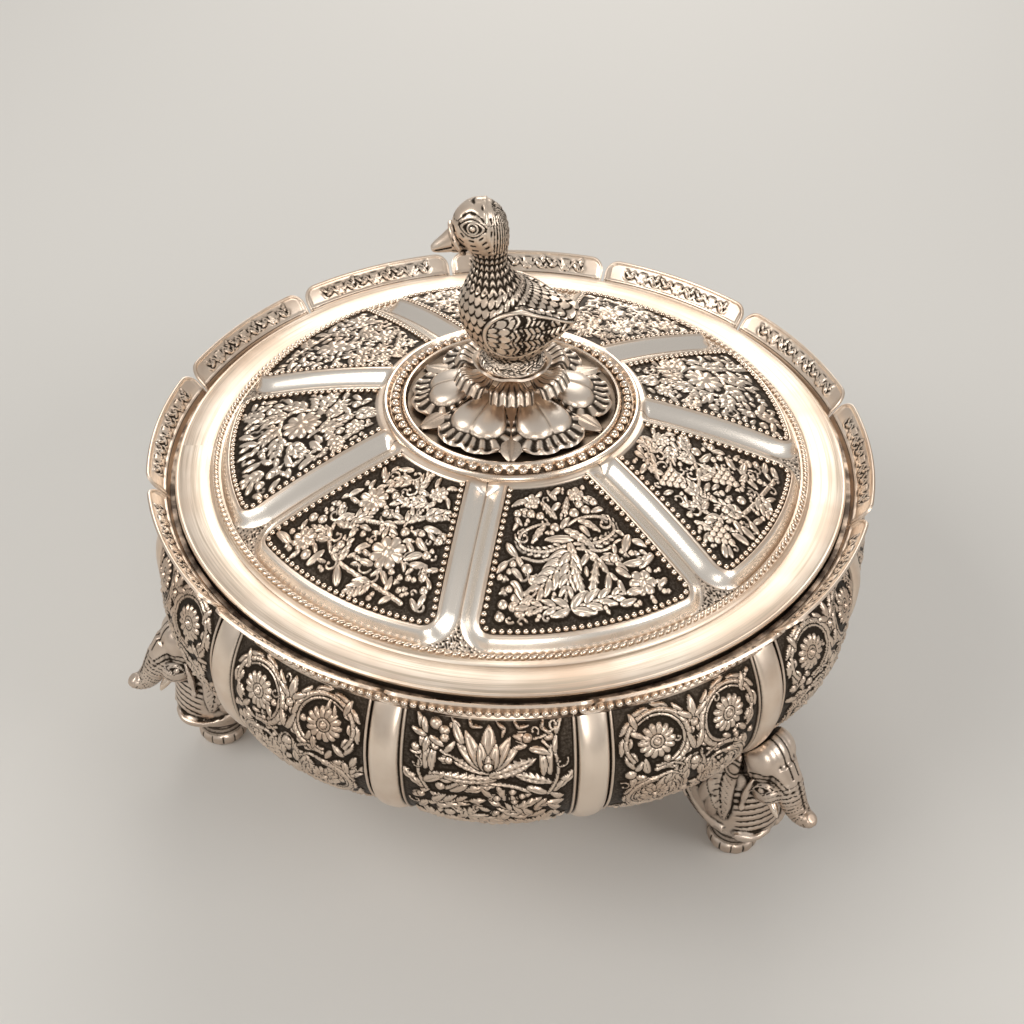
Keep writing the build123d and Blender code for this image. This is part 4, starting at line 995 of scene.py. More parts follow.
upper_petals = []
for azimuth in range(0, 360, 60):
    def upper_surface(along, across):
        scallop = 0.045 * np.abs(np.cos(across * pi * 1.5)) ** 0.6
        radius = 6.5 + 14.3 * along * (0.96 - 0.17 * np.abs(across) ** 2.6 + scallop * ramp(0.6, 1.0, along))
        half = 29.0 * clamp(0.62 + 0.6 * along - 0.36 * along**3)
        rise = 150.9 - 2.2 * along**1.6 + 2.4 * ridge(along, 0.84, 0.2) - 1.6 * ramp(0.86, 1.0, along)
        flute = 0.5 * np.cos(across * pi * 6) * ramp(0.2, 0.5, along)
        rise = rise - 1.7 * np.abs(across) ** 2.6 * ramp(0.1, 0.6, along) + flute
        return turned(radius, azimuth + across * half, rise)

    def upper_shade(along, across):
        groove = ramp(0.5, 0.1, 0.5 + 0.5 * np.cos(across * pi * 6)) * ramp(0.2, 0.45, along)
        return clamp(0.75 * groove + 0.8 * ramp(0.9, 0.99, np.abs(across)))

    upper_petals.append(petal_sheet("petal", 30, 60, upper_surface, 1.1, upper_shade))
waist = [(0, 143.4), (11.5, 143.4), (11.0, 145.0), (8.6, 146.2), (8.2, 148.0), (9.0, 150.4), (0, 150.6)]
upper_petals.append(lathe("waist", waist, 60))
upper = joined("lotus_upper_petals", upper_petals, petal_silver)
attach(upper, "lid")
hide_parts("upper_lotus")


# Collar under the duck: a small wavy cup of silver with a flared pedestal in it.
collar_petals = []
for azimuth in range(0, 360, 45):
    def collar_surface(along, across):
        radius = 6.8 + 6.2 * along * (1 - 0.12 * np.abs(across) ** 2)
        rise = 151.6 + 1.9 * along**2 + 0.5 * np.cos(across * pi) * along
        return turned(radius, azimuth + across * 23.5, rise)

    collar_petals.append(petal_sheet("petal", 12, 18, collar_surface, 0.8, 0.3))
stand = [
    (0, 150.2), (8.5, 150.2), (9.5, 151.6), (11.2, 153.0), (11.0, 153.6), (9.6, 154.8), (8.9, 156.4), (0, 156.6)
]
collar_petals.append(lathe("stand", stand, 72))
collar_piece = joined("duck_collar", collar_petals, petal_silver)
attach(collar_piece, "lid")
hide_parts("collar")


# Gallery: twelve silver tongues round the mouth, cut from one band, beaten outwards and chased inside
# with a small running vine of flowers between smooth borders.
PETAL_STEP = 30.0
FIRST_FLUTE = 12.35
TONGUE_HALF = 14.72
TONGUE_LENGTH = 14.0
TONGUE_CORNER = 5.28
ARC_RADIUS = 121.0
STRAIGHT_SHARE = 0.83
gallery_silver = chased_finish("gallery_chased_silver", 0.3)
tongues = []
for number in range(12):
    middle = FIRST_FLUTE - PETAL_STEP / 2 + PETAL_STEP * number
    # Columns close up towards the rounded corners, where the tongue's height falls
    bend = np.linspace(0, pi / 2, 16)
    side_columns = STRAIGHT_SHARE + 0.17 * np.sin(bend)
    straight_columns = np.linspace(-STRAIGHT_SHARE, STRAIGHT_SHARE, 124)[1:-1]
    columns = np.concatenate([-side_columns[::-1], straight_columns, side_columns])
    along, across = np.meshgrid(np.linspace(0, 1, 32), columns, indexing="ij")
    corner = clamp((np.abs(across) - STRAIGHT_SHARE) / 0.17)
    reach = 0.62 + 0.38 * domed(corner)
    climb = along * reach
    radius = 117.15 + 8.1 * climb**1.35
    height = 107.2 + 11.9 * climb**0.92
    azimuth = middle + across * TONGUE_HALF
    x, y = across * np.radians(TONGUE_HALF) * ARC_RADIUS, climb * TONGUE_LENGTH
    side_gap = (1 - np.abs(across)) * np.radians(TONGUE_HALF) * ARC_RADIUS
    top_gap = TONGUE_LENGTH * (1 - climb)
    in_corner = (side_gap < TONGUE_CORNER) & (top_gap < TONGUE_CORNER)
    round_edge = TONGUE_CORNER - np.hypot(TONGUE_CORNER - side_gap, TONGUE_CORNER - top_gap)
    edge = np.where(in_corner, round_edge, np.minimum(side_gap, top_gap))
    sheet = Chasing(x, y, 70 + number)
    for place in (-15.5, 0.0, 15.5):
        sheet.flower(place, 9.4, 2.5, 6)
        for way in (-1, 1):
            vine = ((2.2, 9.2), (3.8, 11.0), (5.3, 9.3), (6.6, 7.7), (7.9, 9.2))
            sheet.stem(curve_through([(place + way * u, v) for u, v in vine], 24), 0.95, 0.8, 0.2)
            sheet.leaf(place + way * 3.5, 10.0, 90 - way * 130, 3.4, 1.8, 0.2)
            sheet.leaf(place + way * 5.2, 9.4, 90 - way * 40, 3.5, 1.8, -0.2)
            sheet.berry(place + way * 6.4, 10.3, 0.6)
    band = ramp(6.4, 6.9, y) * ramp(0.8, 1.2, edge) * (np.abs(across) < 0.93)
    relief = soften(sheet.height, 1) * band
    rim = ridge(edge, 0.45, 0.34)
    line = ridge(y, 6.3, 0.28) * (edge > 1.0)
    push = 0.75 * relief + 0.3 * rim + 0.25 * line - 0.25 * band
    radius_face, height_face = radius - push * 0.75, height + push * 0.65
    inner = turned(radius_face, azimuth, height_face)
    outer = turned(radius + 0.55, azimuth, height - 0.5)
    # Only the ground close to the flowers stayed black; the rest was rubbed bright
    near = ramp(0.03, 0.28, soften(clamp(sheet.height), 5))
    shade = (0.9 * near + 0.1) * sheet.tarnish_and_painted_light(0.8) * band + 0.45 * ridge(edge, 1.0, 0.22)
    shade = clamp(np.maximum(shade, 0.7 * ridge(y, 5.9, 0.2)))
    tongues.append(plate("tongue", inner, outer, shade, 6, 40))
band = [(116.75, 106.2), (117.55, 106.2), (117.6, 109.0), (117.2, 109.8), (116.8, 109.2)]
tongues.append(lathe("band", band, 180, 0.8))
gallery = joined("gallery_tongues", tongues, gallery_silver)
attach(gallery, "bowl_body")
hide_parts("gallery")

# Bead wire under the gallery: a string of silver beads soldered as one wire on a plain strip. The strip is
# drawn nearly black: painted shade under the gallery and between the beads.
strip_painted_shade = wire_finish("strip_painted_shade", (0.07, 0.05, 0.038), 0.4)
strip = lathe(
    "bead_strip",
    [
        (117.0, 105.4), (118.6, 105.4), (118.8, 106.0), (118.1, 106.4),
        (118.1, 110.3), (118.7, 110.6), (118.5, 111.2), (117.0, 111.2),
    ],
    200,
    finish=strip_painted_shade,
)
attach(strip, "bowl_body")
beads = round_string("bead_wire_row", 118.75, 108.35, 264, bead_silver, 2.45, 2.55, 0.0, 10)
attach(beads, "bowl_body")
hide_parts("bead_wire")


# Bowl: silver raised into twelve lobes and chased all over; each lobe is a panel of its own with a
# fine raised line round it. The front one has an open lotus, the others scrolls with rosettes.
MOUTH = (118.0, 107.0)
BELLY = (127.6, 84.0)
BASE = (66.0, 42.0)
LOBE_SWELL = 2.5
FLUTE_HALF = 2.45
BOWL_SHEET = 1.6
PANEL_END = 66.0
RELIEF_HEIGHT = 1.45


def bowl_profile(count, finest=62.0):
    """Rows down the wall: radius, height, outward normal, swell of the lobes, and the run from the mouth.

    Four fifths of the rows lie in the first part of the run, up to finest."""
    share = np.linspace(1, 0, 200)[:-1]
    upper = np.stack([BELLY[0] - (BELLY[0] - MOUTH[0]) * share**2, BELLY[1] + (MOUTH[1] - BELLY[1]) * share], -1)
    angle = np.radians(np.linspace(0, 90, 900))
    lower = np.stack(
        [
            BASE[0] + (BELLY[0] - BASE[0]) * clamp(np.cos(angle)) ** 0.8,
            BELLY[1] - (BELLY[1] - BASE[1]) * np.sin(angle) ** 0.8,
        ],
        -1,
    )
    line = np.concatenate([upper, lower])
    run = np.concatenate([[0], np.cumsum(np.hypot(*np.diff(line, axis=0).T))])
    fine_rows = int(count * 0.8)
    coarse_marks = np.linspace(finest, run[-1], count - fine_rows + 1)[1:]
    marks = np.concatenate([np.linspace(0, finest, fine_rows), coarse_marks])
    radius, height = np.interp(marks, run, line[:, 0]), np.interp(marks, run, line[:, 1])
    slope = np.gradient(np.stack([radius, height], -1), marks, axis=0)
    length = np.hypot(slope[:, 0], slope[:, 1])
    out, up = -slope[:, 1] / length, slope[:, 0] / length
    share = clamp((height - BELLY[1]) / (MOUTH[1] - BELLY[1]))
    swell = np.where(height > BELLY[1], 0.5 + 2.0 * (1 - share**2), LOBE_SWELL * radius / BELLY[0])
    return [column[:, None] for column in (radius, height, out, up, swell, marks)]


def rosette(sheet, x, y, size):
    """Big open flower: narrow petals that touch, about an eye in a ring."""
    sheet.flower(x, y, size, 14)
    sheet.berry(x, y, size * 0.36, 1.05)
    sheet.berry(x, y, size * 0.2, 1.3)


def medallion(sheet, x, y, size, way, start):
    """Double acanthus stem coiled round a rosette, with leaves that peel off its outside."""
    coil = []
    for step in np.linspace(0, 1, 46):
        turn = radians(90 + start) + way * step * 5.4
        reach = size * (1.02 - 0.12 * step)
        coil.append((x + reach * cos(turn), y + reach * sin(turn)))
    for number in range(3, 46, 5):
        (px, py), (qx, qy) = coil[number - 1], coil[number]
        heading = np.degrees(atan2(qy - py, qx - px))
        sheet.leaf(px, py, heading - way * 30, size * 0.58, size * 0.3, way * 0.45)
        root = (px + (x - px) * 0.1, py + (y - py) * 0.1)
        sheet.leaf(*root, heading + way * 30, size * 0.36, size * 0.17, -way * 0.5)
    sheet.stem([(x + (px - x) * 0.85, y + (py - y) * 0.85) for px, py in coil[:34]], size * 0.1, 0.75, 0.6)
    sheet.stem(coil, size * 0.18, 0.95, 0.35)
    px, py = coil[0]
    tail = [(px, py), (px - way * size * 0.5, py - size * 0.12), (px - way * size * 0.95, py + size * 0.2)]
    sheet.stem(curve_through(tail, 14), size * 0.15, 0.8, 0.6)
    rosette(sheet, x, y, size * 0.58)


def draw_lotus_lobe(sheet):
    """Open lotus over crossed feather leaves, blossoms in the upper corners, foliage below."""
    sheet.leaves(
        (-21, 40, 60, 15, 6.0, -0.2, 6), (21, 40, 120, 15, 6.0, 0.2, 6), (-12, 36, 30, 14, 5.5, 0.2, 6),
        (12, 36, 150, 14, 5.5, -0.2, 6), (-3, 34, 110, 13, 5.2, 0.2, 5), (6, 46, 200, 14, 5.5, 0.2, 6),
        (-18, 31, 20, 12, 5.0, 0.25, 5), (17, 31, 160, 13, 5.0, -0.25, 5), (0, 48, 20, 14, 5.0, 0.2, 5),
        (-20, 30, 235, 14, 4.6, -0.3, 5), (20.5, 29, 300, 15, 4.6, 0.3, 5), (-8, 27, 350, 13, 4.6, -0.2, 4),
        (9, 52, 170, 15, 5.5, 0.2, 5), (-18, 54, 340, 14, 5.0, 0.2, 5),
    )
    for x, y, angle, length in (
        (-17, 36, 330, 12), (14, 41, 205, 12), (-6, 42, 10, 11), (16, 50, 190, 11), (-14, 47, 25, 11)
    ):
        sheet.spray(x, y, angle, length, 6.5, 3, 0.2)
    sheet.stem(curve_through([(-13, 27.5), (-6.5, 23.2), (2, 23.0), (8, 24.3), (13, 27)], 30), 1.4, 0.8, 0.2)
    sheet.leaves((12, 25, 20, 8, 3.4, 0.2), (3, 24, 60, 7.5, 3.4, 0.2, 3), (-6, 24, 130, 7, 3.0, 0.2))
    sheet.stem(curve_through([(19, 29), (21.6, 22), (21.2, 14), (17, 8.5)], 24), 1.1, 0.8, 0.2)
    sheet.stem(curve_through([(-19, 29), (-21.6, 22), (-20, 15), (-17, 11)], 24), 1.1, 0.8, 0.2)
    for way in (-1, 1):
        sheet.leaves(
            (way * 19.5, 21, 270 - way * 12, 11, 3.2, way * 0.25),
            (way * 16.5, 12.5, 90 - way * 16, 8.5, 3.2, way * 0.2),
            (way * 21, 13, 270 - way * 8, 6, 2.4, way * 0.2),
            (way * 21.5, 6.8, 270, 5.5, 2.6, way * 0.3),
        )
    # Feather leaves
    sheet.leaves(
        (3.0, 21.4, 177, 20.5, 6.0, 0.04, 9), (1.0, 19.2, 197, 16.0, 4.6, 0.05, 7),
        (0.5, 20.2, 341, 15.5, 7.4, -0.06, 7), (8.5, 19.4, 17, 12.5, 5.4, 0.1, 6),
    )
    # Lotus
    sheet.leaves(
        (-0.5, 18.0, 220, 12.5, 4.6, 0.06), (0.9, 18.0, 320, 11.8, 4.6, -0.06), (-0.6, 18.2, 241, 14.5, 4.8, 0.03),
        (0.8, 18.2, 300, 13.0, 4.8, -0.03), (0.2, 16.0, 270, 12.8, 6.4, 0.0), (-0.5, 18.5, 254, 9.8, 4.2, 0.1),
        (0.9, 18.5, 286, 9.8, 4.2, -0.1),
    )
    sheet.bud(0.3, 18.8, 270, 4.0)
    # Blossoms and buds in the upper corners
    sheet.stem(curve_through([(-8.5, 15.2), (-12, 14.2), (-15, 12.6)], 12), 1.0, 0.8, 0.2)
    sheet.bud(-15.0, 12.8, 215, 3.4)
    for x, y, size in ((-16.8, 4.4, 2.0), (-13.9, 6.2, 1.7), (-13.6, 8.6, 1.4), (19.0, 7.2, 1.5)):
        sheet.berry(x, y, size)
    for x, y, angle in ((-19.5, 8.2, 250), (-19.5, 8.8, 190), (-19.0, 9.2, 95), (-18.5, 9.0, 20)):
        sheet.leaf(x, y, angle, 5.4, 2.6, 0.1)
    sheet.stem(curve_through([(14, 7.5), (17, 7.0), (20.5, 5.0)], 12), 0.9, 0.8, 0.2)
    sheet.bud(14.4, 7.6, 190, 4.4)
    sheet.curl(20.2, 5.2, 290, 2.0, 1)
    for x, angle in ((-9.0, 200), (-5.6, 340), (5.4, 200), (9.2, 330), (16.4, 20)):
        sheet.leaves((x, 4.2, angle, 3.6, 1.7, 0.3), (x, 4.2, angle - 70, 2.8, 1.5, -0.3))


def draw_scroll_lobe(sheet):
    """Four coiled stems round rosettes, a palmette between, and foliage that closes below them."""
    for way in (-1, 1):
        for _ in range(6):
            x = way * sheet.random.uniform(4, 21)
            sheet.spray(x, sheet.random.uniform(36, 58), sheet.random.uniform(0, 360), 11, 6.5, 3, 0.2 * way)
        sheet.spray(way * 3, 30, 90 - way * 35, 16, 7.0, 4, way * 0.2)
        sheet.spray(way * 20, 28, 90 + way * 20, 15, 6.5, 4, way * 0.25)
        medallion(sheet, way * 12.6, 39.0, 8.8, way, 180)
        medallion(sheet, way * 13.2, 14.8, 11.0, way, 0)
        sheet.leaf(way * 21.5, 4.0, 90 + way * 20, 6, 2.6)
        sheet.leaf(way * 20.5, 25.5, 270 - way * 40, 6, 2.6)
    sheet.leaf(0, 10.5, 270, 7.5, 3.8)
    for way in (-1, 1):
        sheet.leaf(way * 0.6, 10.5, 270 + way * 42, 6.0, 2.6, way * 0.25)
        sheet.leaf(0, 24, 90 - way * 40, 8.5, 3.4, way * 0.2, 4)
        sheet.leaf(0, 22, 270 + way * 26, 7.5, 2.8, -way * 0.1)
    sheet.berry(0, 12.0, 1.4)
    sheet.bud(0, 24.5, 90, 5.0)


# Painted shade: the lobes get a darker copy of the chased silver, for the bowl's wall, which takes less light than
# the lid
lobe_silver_painted_shade = chased_finish("lobe_chased_silver_painted_shade", bright=(0.74, 0.61, 0.5), warm=(0.62, 0.47, 0.36))
for number in range(12):
    middle = FIRST_FLUTE - PETAL_STEP / 2 + PETAL_STEP * number
    # The nearer a lobe is to the front, the finer its grid
    from_front = abs((middle + 180) % 360 - 180)
    row_count, column_count = (240, 176) if from_front < 40 else (190, 136) if from_front < 75 else (110, 74)
    radius, height, out, up, swell, run = bowl_profile(row_count)
    half = PETAL_STEP / 2 - FLUTE_HALF
    across = np.linspace(-1, 1, column_count)[None, :]
    crease = radius - swell
    bulge = swell * (1 - across**2)
    x, y = np.broadcast_arrays(across * np.radians(half) * BELLY[0], run)
    sheet = Chasing(x.copy(), y.copy(), 100 + number)
    if number == 0:
        draw_lotus_lobe(sheet)
    else:
        draw_scroll_lobe(sheet)
    side_gap = np.radians(half) * radius * (1 - np.abs(across))
    end_gap = PANEL_END - run
    inside = np.minimum(side_gap, end_gap)
    sheet.fill((inside > 2.2) & (run > 2.6), 6.8, 2.6, 2200)
    relief = soften(sheet.height * (ramp(0.9, 1.7, inside) * ramp(1.6, 2.4, run)), 1)
    line = ridge(side_gap, 0.65, 0.32) * (run < PANEL_END) + ridge(end_gap, 0.6, 0.4) * (side_gap > 0.6)
    sunk = 0.5 * ramp(0.9, 1.5, inside) * ramp(1.2, 2.0, run)
    push = RELIEF_HEIGHT * relief - sunk + 0.5 * line
    shade = sheet.tarnish_and_painted_light(0.8) * ramp(1.0, 1.5, inside) * ramp(1.4, 2.0, run)
    shade = np.maximum(shade, ridge(inside, 1.25, 0.3))
    shade = np.maximum(shade, ridge(side_gap, 0, 0.25))
    shade = clamp(np.maximum(shade, 0.25 * ramp(62, 70, run)))
    azimuth = middle + across * half
    outer = turned(crease + bulge + out * push, azimuth, height + up * push)
    inner = turned(crease + bulge - BOWL_SHEET * out, azimuth, height - BOWL_SHEET * up)
    lobe = plate(f"bowl_lobe_{number + 1}", outer, inner, shade, 16, 8, lobe_silver_painted_shade)
    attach(lobe, "bowl_body")
    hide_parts("bowl")

# Flutes between the lobes: smooth rounded bands, polished, each between two blackened grooves; and the
# plain disc under the bowl, with the bosses inside that take the feet's studs.
flute_silver = chased_finish("flute_silver", 0.2)
flutes = []
for number in range(12):
    radius, height, out, up, swell, run = bowl_profile(84)
    turn = np.linspace(-FLUTE_HALF, FLUTE_HALF, 29)[None, :]
    band = domed(np.abs(turn) / 2.25, 2.6)
    ends = ramp(0.0, 1.4, run)
    push = 1.9 * band * swell / LOBE_SWELL * (0.35 + 0.65 * ends) - 0.4 * (1 - band) * ends
    push = push * ramp(106.0, 96.0, run)
    shade = ramp(2.1, 2.3, np.abs(turn)) * ramp(104.0, 96.0, run) + 0.06 * ramp(60, 80, run)
    shade = clamp(shade + 0.25 * ramp(1.7, 2.2, np.abs(turn)))
    azimuth = FIRST_FLUTE + PETAL_STEP * number + turn
    crease = radius - swell
    outer = turned(crease + out * push, azimuth, height + up * push)
    inner = turned(crease - BOWL_SHEET * out, azimuth, height - BOWL_SHEET * up)
    flutes.append(plate("flute", outer, inner, shade, 16, 4))
FOOT_AZIMUTHS = {"right": 46.0, "back": 166.0, "left": 286.0}
flutes.append(lathe("floor", [(0, 42.0), (65.2, 42.0), (65.2, 43.4), (0, 43.4)], 120, 0.2))
for azimuth in FOOT_AZIMUTHS.values():
    boss = lathe("boss", [(0, 43.0), (7.4, 43.0), (7.2, 48.9), (6.6, 49.5), (0, 49.5)], 40, 0.3)
    boss.data.transform(Matrix.Translation(Vector(turned(95.0, azimuth, 0.0)) * MM))
    flutes.append(boss)
flute_piece = joined("bowl_flutes", flutes, flute_silver)
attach(flute_piece, "bowl_body")


# Duck: the lid's handle, cast in silver and chased afterwards: scales on the breast, braided strands
# down the neck, barbed feathers in tiers on the folded wings, almond eyes in arcs of strokes.
def loft(stations, sides=40, steps=60):
    """Closed tube over stations of centre, across and deep vectors, smooth along its length."""
    flat = np.array([[*c, *a, *d] for c, a, d in stations], float)
    line = curve_through(flat, steps)
    turn = np.linspace(0, 2 * pi, sides, endpoint=False)[None, :, None]
    rings = line[:, None, :3] + np.cos(turn) * line[:, None, 3:6] + np.sin(turn) * line[:, None, 6:]
    index = np.arange(steps * sides).reshape(steps, sides)
    beside = np.roll(index, -1, 1)
    faces = np.stack([index[:-1], beside[:-1], beside[1:], index[1:]], -1).reshape(-1, 4).tolist()
    faces += [index[0, ::-1].tolist(), index[-1].tolist()]
    return rings.reshape(-1, 3), faces


def solid_of(name, points, faces):
    """Smooth object of points in millimetres, not yet in the scene; joined() takes it in."""
    mesh = bpy.data.meshes.new(name)
    mesh.from_pydata((np.asarray(points) * MM).tolist(), [], faces)
    mesh.polygons.foreach_set("use_smooth", np.ones(len(mesh.polygons), bool))
    return bpy.data.objects.new(name, mesh)


def ball(centre, sizes, lean=0.0):
    """Closed ellipsoid that leans forward by an angle."""
    made = bmesh.new()
    bmesh.ops.create_icosphere(made, subdivisions=4, radius=1.0)
    made.transform(Matrix.Translation(centre) @ Matrix.Rotation(lean, 4, "Y") @ Matrix.Diagonal((*sizes, 1)))
    points = np.array([vertex.co[:] for vertex in made.verts])
    faces = [[vertex.index for vertex in face.verts] for face in made.faces]
    made.free()
    return points, faces


def cast(name, shapes, grain, passes):
    """One skin round overlapping closed shapes, as a casting has; returns its mesh, points and normals."""
    points, faces, start = [], [], 0
    for more_points, more_faces in shapes:
        points.append(more_points)
        faces += [[start + corner for corner in face] for face in more_faces]
        start += len(more_points)
    mesh = bpy.data.meshes.new(name + "_rough")
    mesh.from_pydata(np.concatenate(points).tolist(), [], faces)
    rough = bpy.data.objects.new(name + "_rough", mesh)
    scene.collection.objects.link(rough)
    skin = rough.modifiers.new("skin", "REMESH")
    skin.mode = "VOXEL"
    skin.voxel_size = grain
    even = rough.modifiers.new("even", "SMOOTH")
    even.factor, even.iterations = 0.5, passes
    solid = bpy.data.meshes.new_from_object(rough.evaluated_get(bpy.context.evaluated_depsgraph_get()))
    bpy.data.objects.remove(rough)
    bpy.data.meshes.remove(mesh)
    count = len(solid.vertices)
    place, normal = np.zeros(count * 3), np.zeros(count * 3)
    solid.vertices.foreach_get("co", place)
    solid.vertex_normals.foreach_get("vector", normal)
    return solid, place.reshape(-1, 3), normal.reshape(-1, 3)


def chased_cast(name, solid, points, shade, finish):
    """Puts the chased points back on the casting, in metres, with its tarnish and painted shade."""
    solid.vertices.foreach_set("co", (points * MM).ravel())
    solid.polygons.foreach_set("use_smooth", np.ones(len(solid.polygons), bool))
    solid.name = name
    solid.update()
    return new_object(name, solid, clamp(shade), finish)


def hollows(solid, points, normal, passes):
    """How deep each point lies below its neighbourhood, in mm; wider with more passes."""
    ends = np.zeros(len(solid.edges) * 2, int)
    solid.edges.foreach_get("vertices", ends)
    first, second = ends.reshape(-1, 2).T
    count = np.bincount(first, minlength=len(points)) + np.bincount(second, minlength=len(points))
    even = points.copy()
    for _ in range(passes):
        for axis in range(3):
            column = even[:, axis]
            total = np.bincount(first, column[second], len(points))
            total = total + np.bincount(second, column[first], len(points))
            even[:, axis] = total / np.maximum(count, 1)
    return ((even - points) * normal).sum(1)


def scales(u, v, overlap=0.95):
    """Overlapping scales, rows along v: height 0..1 and how close a point is to a scale's edge."""
    heights, edges = [], []
    for back in (1, 0):
        row = np.floor(v) - back
        aside = (u - 0.5 * (row % 2) + 0.5) % 1.0 - 0.5
        reach = 0.55 + overlap * domed(2 * aside)
        share = (v - row) / reach
        heights.append(np.where(share < 1, 0.25 + 0.75 * share, -1))
        edges.append(clamp(1 - np.abs(share - 1) / 0.16))
    over = heights[0] > 0
    height = np.where(over, heights[0], clamp(heights[1]))
    edge = np.where(over, edges[0] * (heights[0] < 0.999), edges[1])
    return height, np.maximum(edge, np.where(over, 0, edges[0]))


SEAT = 153.3
TALL = 60.0


def level_ring(level, front, back, half):
    """Level station of the duck: its height, front, back and half width, as shares of the duck's height."""
    centre = ((front + back) / 2 * TALL, 0, SEAT + level * TALL)
    return centre, (0, half * TALL, 0), ((back - front) / 2 * TALL, 0, 0)


def upright_ring(x, y, z, wide, deep, lean, rise=1.0):
    """Station of the duck that stands on edge and leans along x, as shares of the duck's height."""
    centre = (x * TALL, y * TALL, SEAT + z * TALL)
    return centre, (0, wide * TALL, 0), (lean * deep * TALL, 0, rise * deep * TALL)


# From the foot up through breast and neck to the crown
upright_part = (
    (0.0, -0.19, 0.19, 0.19), (0.045, -0.152, 0.16, 0.152), (0.09, -0.16, 0.17, 0.15), (0.15, -0.215, 0.22, 0.19),
    (0.21, -0.255, 0.245, 0.215), (0.29, -0.285, 0.235, 0.22), (0.38, -0.29, 0.17, 0.208),
    (0.47, -0.262, 0.08, 0.17), (0.55, -0.232, 0.0, 0.122), (0.623, -0.212, -0.04, 0.09),
    (0.69, -0.225, -0.033, 0.09), (0.75, -0.28, -0.028, 0.113), (0.82, -0.322, -0.028, 0.128),
    (0.9, -0.314, -0.046, 0.124), (0.955, -0.272, -0.084, 0.094), (0.985, -0.226, -0.126, 0.05),
    (0.998, -0.19, -0.162, 0.012),
)
body_to_tail = (
    (-0.2, 0.31, 0.1, 0.1), (-0.1, 0.31, 0.2, 0.2), (0.05, 0.285, 0.215, 0.185), (0.18, 0.265, 0.17, 0.14),
    (0.27, 0.282, 0.105, 0.095), (0.335, 0.304, 0.066, 0.058), (0.352, 0.308, 0.03, 0.026),
)
bill_shape = (
    (-0.25, 0.79, 0.08, 0.088), (-0.3, 0.764, 0.066, 0.076), (-0.36, 0.732, 0.048, 0.052),
    (-0.405, 0.711, 0.034, 0.034), (-0.43, 0.699, 0.022, 0.02), (-0.436, 0.696, 0.008, 0.008),
)
bill_root = (
    (-0.283, 0.776, 0.03, 0.03), (-0.29, 0.772, 0.084, 0.096),
    (-0.308, 0.762, 0.082, 0.094), (-0.315, 0.758, 0.03, 0.03),
)
wing_shape = (
    (-0.165, 0.14, 0.3, 0.02, 0.03), (-0.13, 0.16, 0.3, 0.06, 0.12), (-0.02, 0.172, 0.292, 0.072, 0.155),
    (0.1, 0.15, 0.282, 0.07, 0.135), (0.2, 0.107, 0.28, 0.06, 0.095), (0.285, 0.07, 0.292, 0.042, 0.055),
    (0.33, 0.05, 0.302, 0.018, 0.02),
)
duck_shapes = [
    loft([level_ring(*ring) for ring in upright_part], 48, 130),
    loft([upright_ring(x, 0, z, w, d, 0.12) for x, z, w, d in body_to_tail], 40, 60),
    loft([upright_ring(x, 0, z, w, d, -0.42, 0.9) for x, z, w, d in bill_shape], 32, 40),
    loft([upright_ring(x, 0, z, w, d, -0.42, 0.9) for x, z, w, d in bill_root], 32, 20),
]
for side in (-1, 1):
    wing = [upright_ring(x, side * y, z, side * w, d, 0.1) for x, y, z, w, d in wing_shape]
    duck_shapes.append(loft(wing, 36, 60))
    duck_shapes.append(ball((-0.216 * TALL, side * 0.108 * TALL, SEAT + 0.885 * TALL), (1.9, 0.9, 1.5)))
solid, place, normal = cast("duck", duck_shapes, 0.36, 2)
x, y, z = place.T / TALL
z = z - SEAT / TALL
side = np.abs(y)
push, shade = np.zeros(len(x)), np.full(len(x), 0.12)


def blend_in(region, height, dark):
    """Puts a pattern of relief (mm) and darkening, tarnish and in the elephant's flank painted shade, on the
    casting in hand where region is 1.
    """
    global push, shade
    push = push * (1 - region) + height * region
    shade = shade * (1 - region) + dark * region


# Breast and belly scales, running down and back
round_body = np.arctan2(side, -(x + 0.02))
flow = (0.62 - z) * 15.0 + clamp(x + 0.1) * 9.0
scale_height, scale_edge = scales(round_body * 5.6 + 40, flow * 1.25)
blend_in(ramp(0.53, 0.5, z), 0.75 * scale_height - 0.3, 1.2 * scale_edge + 0.45 * (1 - scale_height))
# Neck strands
around_neck = np.arctan2(side, -(x + 0.125))
strand = around_neck * 3.2
across_strand = np.abs((strand % 1.0) - 0.5) * 2
ticks = np.sin(2 * pi * (z * 27 + across_strand * 0.6))
braid = (1 - across_strand**2.5) * (0.6 + 0.4 * ticks)
blend_in(ramp(0.49, 0.53, z) * ramp(0.735, 0.7, z), 0.75 * braid - 0.3, 1.0 - 1.1 * clamp(braid - 0.1))
# Head: arcs of fine strokes round the eye, plumes on the nape, a line over the crown and a cheek band
head = ramp(0.7, 0.735, z)
eye_x, eye_z = x + 0.213, z - 0.888
eye = np.hypot(eye_x, eye_z)
almond = np.hypot(eye_x / 0.056, eye_z / (0.037 * np.clip(1 - 0.35 * (eye_x / 0.056) ** 2, 0.3, 1)))
arcs = (eye - 0.02) * 30
breaks = np.sin(np.arctan2(eye_z, eye_x) * (6 + np.floor(arcs) * 2) + 2.2 * np.floor(arcs))
strokes = ridge(arcs % 1.0, 0.5, 0.17) * ramp(-0.1, 0.3, breaks)
nape = ramp(-0.13, -0.08, x)
plumes = np.sin(2 * pi * (around_neck * 6)) * (0.6 + 0.4 * np.sin(2 * pi * z * 26))
crown = ridge(y, 0, 0.012) * ramp(0.9, 0.93, z)
head_height = 0.1 - 0.22 * clamp(strokes) * (1 - nape) + 0.3 * plumes * nape + 0.2 * crown
